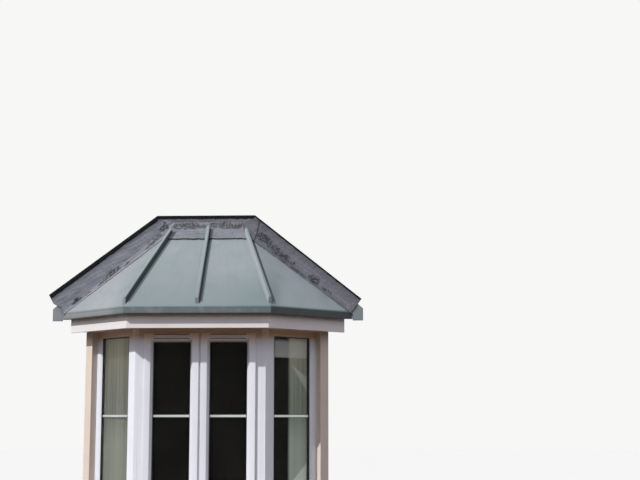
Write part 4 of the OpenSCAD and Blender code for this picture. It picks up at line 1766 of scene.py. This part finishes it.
@dataclass
class Canopy:
    """The moulded canopy: three slopes, drip edge, wall flange and three rolls."""

    finishes: Finishes
    edge_radius: float = 0.014
    lip_radius: float = 0.006
    return_width: float = 0.109
    flange: float = 0.091
    flange_drop: float = 0.012
    flange_shoulder: float = 0.037
    flange_crest: float = 0.052
    roll_width: float = 0.037
    roll_top: float = 0.030
    roll_height: float = 0.034
    roll_steps: int = 40
    slope_steps: int = 70
    side_steps: int = 44
    front_steps: int = 60

    def build(self) -> None:
        """Builds the slopes, the flange and the rolls."""
        grid, uv = self.slopes()
        add_sheet(
            "canopy_slopes", grid, uv, (0.0, -1.0, 1.0), self.finishes.canopy, "canopy",
            "canopy_shell", SIZES.shell,
        )
        self.wall_flange()
        for label, line in ROLL_LINES.items():
            self.roll("canopy_roll_" + label, line)

    def profile(self) -> Array:
        """Section from the top of a slope over the drip edge to the return under it.

        Returns:
            Points [out from the drip line, level], slope first.
        """
        s = SIZES
        outline = [
            (-s.drip[1] + 0.003, s.roof_top - 0.003 * math.tan(s.pitch)),
            (0.0, s.eaves_top),
            (0.0, s.eaves_bottom),
            (-self.return_width, s.eaves_bottom),
        ]
        rounded = round_corners(outline, [0, self.edge_radius, self.lip_radius, 0], 5)
        t = np.linspace(0, 1, self.slope_steps)[:, None]
        slope = outline[0] + (rounded[1] - outline[0]) * t
        return np.concatenate([slope, rounded[2:]])

    def slopes(self) -> tuple[Array, Array]:
        """Carries the profile round the bay and lets the slopes wander by about a millimetre.

        Each point moves along its slope's normal by ripples that die out at the hips, the walls
        and the drip edge.

        Returns:
            The points and their surface coordinates, along the eaves and down the slope.
        """
        s = SIZES
        section = self.profile()
        out, up = section[:, 0:1], section[:, 1:2]
        on_slope = (np.arange(len(section)) < self.slope_steps)[:, None]
        width = s.drip[0] + np.where(on_slope, out * s.side_share, out) / math.sin(SPLAY)
        reach = s.drip[1] + out
        half = width - reach / math.tan(SPLAY)
        t = np.linspace(0, 1, self.side_steps + 1)
        f = np.linspace(-1, 1, self.front_steps + 1)[1:-1]
        left = stack(-width + (width - half) * t, reach * t)
        path = np.concatenate([left, stack(f * half, reach), left[:, ::-1] * FLIP], 1)
        grid = stack(path[..., 0], HOUSE_WALL_Y - path[..., 1], up)
        down = path_lengths(section)
        run_left = -corner_x(s.drip) - s.drip[1] / math.sin(SPLAY) * (1 - t)
        along = np.concatenate([run_left, f * corner_x(s.drip), -run_left[::-1]])
        hips = np.concatenate([1 - t, 1 - np.abs(f), (1 - t)[::-1]])
        walls = np.concatenate([t, np.ones(len(f)), t[::-1]])
        calm = smooth_step(hips, 0.0, 0.15) * smooth_step(walls, 0.0, 0.12)
        amount = calm * (1 - smooth_step(down, 0.90, 0.985))[:, None]
        wave = ripples(grid[..., 0], grid[..., 2], (0.55, 21, 0.0016), (0.16, 22, 0.0004))
        sideways = np.concatenate([np.full(len(t), -1.0), np.zeros(len(f)), np.full(len(t), 1.0)])
        sin_p, cos_p = math.sin(s.pitch), math.cos(s.pitch)
        ahead = np.where(sideways == 0, 1.0, math.cos(SPLAY))
        normal = stack(sideways * math.sin(SPLAY) * sin_p, -ahead * sin_p, cos_p)
        return grid + (wave * amount)[..., None] * normal, stack(along, down[:, None])

    def wall_flange(self) -> None:
        """Builds the flat flange: an arch round the mouth of the canopy, with an ear at each foot.

        Both outer edges run parallel to the line where a side slope meets the wall.
        """
        s = SIZES
        eaves = s.eaves_bottom
        right, foot, ear = s.drip[0] + self.flange, eaves - self.flange_drop, s.drip[0] + 0.002
        shoulder, crest = s.eaves_top + self.flange_shoulder, s.roof_top + self.flange_crest
        top = right - (crest - shoulder) * (s.drip[0] - s.flange_hip) / (s.roof_top - s.eaves_top)
        edge, mouth = s.drip[0] - 0.007, (s.hip_top - 0.004, s.roof_top - 0.012)
        outer = np.array(
            [(right, foot), (right, eaves), (right, eaves + 0.002), (right, shoulder), (top, crest)]
        )
        inner = np.array(
            [(ear, foot), (ear, eaves), (edge, eaves), (edge, s.eaves_top - 0.004), mouth]
        )
        outer, inner = (np.concatenate([half * FLIP, half[::-1]]) for half in (outer, inner))
        back, front = HOUSE_WALL_Y, HOUSE_WALL_Y - s.shell
        loops = [(outer, front), (inner, front), (inner, back), (outer, back)]
        grid = np.stack([np.insert(path, 1, y, axis=1) for path, y in loops], 1)
        piece = add_solid("canopy_flange", [grid], self.finishes.canopy_flange, "canopy")
        add_bevel(piece, 0.0018)

    def roll_section(self, drop: float) -> Array:
        """Section of a roll [across, height] with rounded shoulders and flared feet.

        Args:
            drop: how far the feet run down below the line that the roll follows.

        Returns:
            The points.
        """
        half, top, high = self.roll_width / 2, self.roll_top / 2, self.roll_height
        outline = [
            (-half - 0.003, -drop), (-half, 0.005 - drop * 0.5), (-top, high - 0.005),
            (-top + 0.007, high), (top - 0.007, high), (top, high - 0.005),
            (half, 0.005 - drop * 0.5), (half + 0.003, -drop), (0.0, -min(0.004, drop)),
        ]
        return round_corners(outline, [0, 0.006, 0.005, 0.006, 0.006, 0.005, 0.006, 0, 0], 4)

    def roll(self, name: str, line: RollLine) -> None:
        """Carries the roll's section up a slope or a hip.

        The ends stand upright: the distance along the slope at which an end starts grows with the
        height over the slope, and on a hip also with the distance across, so that the lower end
        follows both eaves.

        Args:
            name: name of the piece.
            line: where it runs.
        """
        s = SIZES
        turn = math.atan2(line.foot - line.head, s.drip[1])
        slope = math.atan((s.roof_top - s.eaves_top) * math.cos(turn) / s.drip[1])
        section = self.roll_section(line.drop)
        across, high = section[:, 0], section[:, 1]
        first = (ROLL_SETBACK + np.abs(across) * math.sin(abs(turn))) / math.cos(turn)
        last = (s.drip[1] - line.gap + across * math.sin(turn)) / math.cos(turn)
        begin, end = ((reach + high * math.sin(slope)) / math.cos(slope) for reach in (first, last))
        along = begin + np.linspace(0, 1, self.roll_steps)[:, None] * (end - begin)
        plan = along * math.cos(slope) - high * math.sin(slope)
        level = s.eaves_top + along * math.sin(slope) + high * math.cos(slope)
        x = line.foot - plan * math.sin(turn) + across * math.cos(turn)
        reach = s.drip[1] - plan * math.cos(turn) - across * math.sin(turn)
        grid = stack(x + ripple(along, across, 0.4, 31) * 0.0007, HOUSE_WALL_Y - reach, level)
        uv = stack(across, 0.99 - along)
        add_solid(name, [grid], self.finishes.canopy_roll, "canopy", smooth_angle=50.0, uv=uv)


# Lower ends of the side sheets as they were cut, from the slope out to the tip [half width, level]
LEAD_ENDS = {
    Face.LEFT: np.array([(1.2359, 2.502), (1.262, 2.545), (1.331, 2.5845), (1.372, 2.660)]),
    Face.RIGHT: np.array([(1.2359, 2.502), (1.2460, 2.513), (1.3175, 2.612), (1.3227, 2.6173)]),
}


@dataclass
class Flashing:
    """Dressed lead over the canopy's flange, in three sheets, and a black bead of painted shadow at
    its edge.
    """

    finishes: Finishes
    thickness: float = 0.0035
    upstand: float = 0.065
    corner_out: float = 0.1357
    corner_slip: float = 0.018
    apron_length: float = 0.202
    side_lap: float = 0.103
    side_taper: float = 0.088
    wall_gap: float = SIZES.shell + 0.0005
    clearance: float = 0.001
    least_lap: float = 0.003
    length_steps: int = 190
    apron_steps: int = 150
    bead_steps: int = 60
    # Widths of the painted-shadow bead on the left side, the top and the right side.
    shadow_bead_widths: Triple = (0.034, 0.026, 0.013)

    def build(self) -> None:
        """Builds the three sheets and the edge."""
        self.side_sheet(Face.LEFT, 41)
        self.side_sheet(Face.RIGHT, 43)
        self.top_sheet(47)
        self.shadow_bead()

    def top_corner(self, face: Face) -> Array:
        """Outer top corner of the lead on one side [half width, level]; the two differ a little."""
        reach = self.corner_out - self.corner_slip * face.value
        return np.array([SIZES.hip_top + reach, SIZES.roof_top + self.upstand])

    def side_sheet(self, face: Face, seed: int) -> None:
        """Builds one side sheet.

        Its cross profile starts on the side slope, turns up at the wall and ends at the outer
        edge. Along the sheet, the profile follows the straight line where slope and wall meet.
        Dressing marks are ripples along the normal, largest near the turn.

        Args:
            face: left or right.
            seed: seed of the dressing marks.
        """
        s, wall, end = SIZES, self.wall_gap, LEAD_ENDS[face]
        run = np.linspace(0, 1, self.length_steps)
        t, up = run[:, None], np.linspace(0, 1, 26)[1:]
        top, foot = np.array([s.hip_top, s.roof_top]), end[0]
        inner = top + t * (foot - top)
        steps = path_lengths(end)
        end_points = np.stack([np.interp(up, steps / steps[-1], end[:, i]) for i in (0, 1)], -1)
        start_points = top + up[:, None] * (self.top_corner(face) - top)
        on_wall = start_points + t[:, :, None] * (end_points - start_points)
        edge = ripples(run, ALONG, (0.05, seed + 1, 0.0025), (0.012, seed + 2, 0.001))
        reach = np.minimum(self.side_lap - self.side_taper * run, 0.004 + 1.85 * run) + edge
        lap = np.maximum(reach, self.least_lap)[:, None] * np.linspace(1, 0, 14)
        sin_p, cos_p = math.sin(s.pitch), math.cos(s.pitch)
        normal = np.array([math.sin(SPLAY) * sin_p, math.cos(SPLAY) * sin_p, cos_p])
        level = inner[:, 1:] - lap * math.tan(s.pitch) * math.cos(SPLAY)
        on_slope = stack(inner[:, :1], wall + lap, level)
        on_slope += normal * (self.thickness + self.clearance)
        upright = stack(on_wall[..., 0], wall + self.thickness, on_wall[..., 1])
        cross = np.concatenate([on_slope, upright], 1)
        turn = lap.shape[1]
        cross[:, turn - 1] = (cross[:, turn - 2] + cross[:, turn]) / 2 + np.array([0, 0.001, 0])
        width = np.linalg.norm(on_wall[:, -1] - inner, axis=1)[:, None]
        v = np.concatenate([-lap, up * width], 1)
        u = np.broadcast_to(t * np.linalg.norm(foot - top), v.shape)
        above = v + lap[:, :1]
        near = np.exp(-((above - 0.05) / 0.035) ** 2)
        dent = ripples(u, v, (0.09, seed + 3, 0.0013), (0.03, seed + 4, 0.0008))
        gate = smooth_step(ripple(u, v, 0.12, seed + 6), -0.1, 0.5)
        lumps = np.maximum(0, ripple(u, v, 0.018, seed + 5, 12)) * near * gate * 0.0034
        cross[..., 1] += (dent + 0.0014) * smooth_step(v, 0.155, 0.13) + lumps
        cross[..., 0] *= face.value
        self.add_lead(face.name.lower(), cross, stack(u, above), self.finishes.lead[face])

    def top_sheet(self, seed: int) -> None:
        """Builds the top sheet: an apron down the front slope, turned up against the wall.

        Args:
            seed: seed of the dressing marks.
        """
        s, wall = SIZES, self.wall_gap
        across = np.linspace(-1, 1, self.apron_steps)
        f, lap, up = across[:, None], np.linspace(1, 0, 22), np.linspace(0, 1, 16)[1:]
        hip = (corner_x(s.drip) - s.hip_top) / s.drip[1]
        edge = ripples(across, ALONG, (0.12, seed, 0.002), (0.03, seed + 1, 0.0008))
        plan = lap * self.apron_length * math.cos(s.pitch) + edge[:, None] * lap
        x = f * (s.hip_top + plan * hip - 0.001)
        on_slope = stack(x, wall + plan, s.roof_top - plan * math.tan(s.pitch))
        normal = np.array([0.0, math.sin(s.pitch), math.cos(s.pitch)])
        on_slope += normal * (self.thickness + self.clearance)
        shift = 0.5 * (self.top_corner(Face.RIGHT)[0] - self.top_corner(Face.LEFT)[0])
        x = f * (s.hip_top + up * self.corner_out) + up * shift
        on_wall = stack(x, wall + self.thickness - 0.0012, s.roof_top + up * self.upstand)
        cross = np.concatenate([on_slope, on_wall], 1)
        u = cross[..., 0]
        v = np.concatenate([-plan / math.cos(s.pitch), np.tile(up * self.upstand, (len(f), 1))], 1)
        near = np.exp(-((v + 0.02) / 0.045) ** 2)
        dent = ripples(u, v, (0.1, seed + 3, 0.0012), (0.03, seed + 4, 0.0008))
        lumps = np.maximum(0, ripple(u, v, 0.02, seed + 5, 12)) * near * 0.0026
        cross[..., 1] += (dent + 0.0012) * smooth_step(v, self.upstand, self.upstand - 0.02) + lumps
        self.add_lead("top", cross, stack(u + 3.0, v + 0.075), self.finishes.lead[Face.FRONT])

    def add_lead(self, side: str, cross: Array, uv: Array, material: bpy.types.Material) -> None:
        """Adds one sheet.

        Args:
            side: what follows "lead_" in the piece's name and "flashing_" in the node's.
            cross: points [x, distance from the house wall, level].
            uv: distances along the strip and up from its lower edge.
            material: finish.
        """
        grid = stack(cross[..., 0], HOUSE_WALL_Y - cross[..., 1], cross[..., 2])
        add_sheet(
            "lead_" + side, grid, uv, (0.0, -1.0, 0.0), material, "lead", "flashing_" + side,
            self.thickness - 0.0005, even=False, smooth_angle=60.0,
        )

    def shadow_bead(self) -> None:
        """Carries a flat black bead of painted shadow along the lead's outer edge, from one tip to
        the other.
        """
        corners = np.array(
            [
                LEAD_ENDS[Face.LEFT][-1] * FLIP,
                self.top_corner(Face.LEFT) * FLIP,
                self.top_corner(Face.RIGHT),
                LEAD_ENDS[Face.RIGHT][-1],
            ]
        )
        path, inward, width = [], [], []
        for i, wide in enumerate(self.shadow_bead_widths):
            a, b = corners[i : i + 2]
            t = np.linspace(0, 1, self.bead_steps, endpoint=i == 2)[:, None]
            ahead = (b - a) / np.linalg.norm(b - a)
            path.append(a + t * (b - a))
            inward.append(np.tile([ahead[1], -ahead[0]], (len(t), 1)))
            width.append(np.full(len(t), wide))
        path, inward, width = (np.concatenate(part) for part in (path, inward, width))
        along = path_lengths(path)
        width = width + ripple(along, ALONG, 0.08, 53) * 0.0022
        proud = 0.0085 + ripple(along, ALONG, 0.05, 54) * 0.0012
        square = [(0.0, 0.0), (0.0, 1.0), (1.0, 1.0), (1.0, 0.0)]
        outline = round_corners(square, [0.0, 0.35, 0.35, 0.0], 3)
        on_wall = path[:, None] + inward[:, None] * (outline[:, 0] * width[:, None])[..., None]
        y = HOUSE_WALL_Y - (SIZES.shell + 0.002) - outline[:, 1] * proud[:, None]
        grid = stack(on_wall[..., 0], y, on_wall[..., 1])
        add_solid("flashing_shadow_bead", [grid], self.finishes.edge_shadow_finish, "lead")


@dataclass(frozen=True)
class Studio:
    """Floor, sky, key light and camera."""

    camera_x: float = 1.419746
    camera_back: float = 10.854761
    camera_z: float = 1.605722
    lens: float = 71.68976
    camera_rows: tuple[Triple, ...] = (
        (0.99913223, 0.04164976, 0.00030198),
        (-0.00547881, 0.13861098, -0.99033175),
        (-0.04128894, 0.98947071, 0.13871889),
    )
    to_sun: Triple = (-0.4662, -0.4408, 0.7671)
    sun_strength: float = 4.0
    sun_angle: float = 0.9
    sun_colour: Colour = (1.0, 0.985, 0.955)
    zenith: Colour = (1.06, 1.08, 1.2)
    horizon: Colour = (0.06, 0.04, 0.028)
    horizon_ends: float = 0.13
    zenith_starts: float = 0.38
    background: Colour = (0.93, 0.93, 0.925)
    floor_seen: Colour = (0.472, 0.466, 0.448)
    floor_bounce: Colour = (0.052, 0.034, 0.022)
    floor_rings: tuple[float, ...] = (0.02, 4.0, 16.0, 60.0)

    def build(self) -> None:
        """Builds the whole studio."""
        self.add_floor()
        self.add_sky()
        self.add_sun()
        self.add_camera()

    @staticmethod
    def seen(kit: NodeKit) -> Socket:
        """Tells rays that show a thing, straight, mirrored or through glass, from all others.

        Args:
            kit: the tree's kit.

        Returns:
            1 for rays that show it and 0 for the rest.
        """
        rays = kit.add("LightPath").outputs
        direct = kit.math("MAXIMUM", rays["Is Camera Ray"], rays["Is Glossy Ray"])
        return kit.math("MAXIMUM", direct, rays["Is Transmission Ray"])

    def add_floor(self) -> None:
        """A wide disc that sends less light back to the bay than its look would."""
        angle = np.linspace(0, 2 * math.pi, 96, endpoint=False)
        radius = np.array(self.floor_rings)[:, None]
        skin = Skin()
        disc = stack(radius * np.cos(angle), radius * np.sin(angle), 0.0)
        skin.add_grid(disc, wrap_columns=True, facing=(0.0, 0.0, 1.0))
        floor = link_object("studio_floor", skin.build("studio_floor"))
        floor.location.z = -0.001
        material = bpy.data.materials.new("studio_floor")
        kit = NodeKit(empty_tree(material))
        colour = kit.mix(self.seen(kit), self.floor_bounce, self.floor_seen)
        diffuse = kit.add("BsdfDiffuse", Color=colour)
        kit.feed(kit.add("OutputMaterial").inputs[0], diffuse.outputs[0])
        floor.data.materials.append(material)

    def add_sky(self) -> None:
        """A soft sky, bright overhead and dim at the horizon, that looks like a pale backdrop."""
        world = bpy.data.worlds.new("studio_sky")
        bpy.context.scene.world = world
        kit = NodeKit(empty_tree(world))
        up = kit.split(kit.add("TexCoord").outputs["Generated"])[2]
        overhead = kit.ramp(up, self.horizon_ends, self.zenith_starts)
        light = kit.mix(overhead, self.horizon, self.zenith)
        colour = kit.mix(self.seen(kit), light, self.background)
        background = kit.add("Background", Color=colour, Strength=1.0)
        kit.feed(kit.add("OutputWorld").inputs[0], background.outputs[0])

    def add_sun(self) -> None:
        """The key light, from the upper left as in the photograph."""
        lamp = bpy.data.lights.new("key_light", "SUN")
        lamp.energy = self.sun_strength
        lamp.angle = math.radians(self.sun_angle)
        lamp.color = self.sun_colour
        sun = link_object("key_light", lamp)
        sun.rotation_mode = "QUATERNION"
        sun.rotation_quaternion = Vector(self.to_sun).to_track_quat("Z", "Y")

    def add_camera(self) -> None:
        """The camera, where the photograph was taken from."""
        data = bpy.data.cameras.new("street_camera")
        data.sensor_fit = "HORIZONTAL"
        data.sensor_width = 36.0
        data.lens = self.lens
        data.clip_start, data.clip_end = 0.05, 300.0
        camera = link_object("street_camera", data)
        right, down, ahead = (Vector(row) for row in self.camera_rows)
        axes = Matrix((right, -down, -ahead)).transposed().to_4x4()
        at = Vector((self.camera_x, HOUSE_WALL_Y - self.camera_back, self.camera_z))
        camera.matrix_world = Matrix.Translation(at) @ axes
        bpy.context.scene.camera = camera


def main() -> None:
    logging.basicConfig(level=logging.INFO, format="%(name)s %(message)s")
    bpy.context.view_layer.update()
    bpy.context.scene.view_settings.view_transform = "Standard"
    Studio().build()
    finishes = Finishes()
    for assembly in (Masonry, Joinery, Head, Canopy, Flashing):
        assembly(finishes).build()
        LOG.info("%s done", assembly.__name__)


if __name__ == "__main__":
    main()
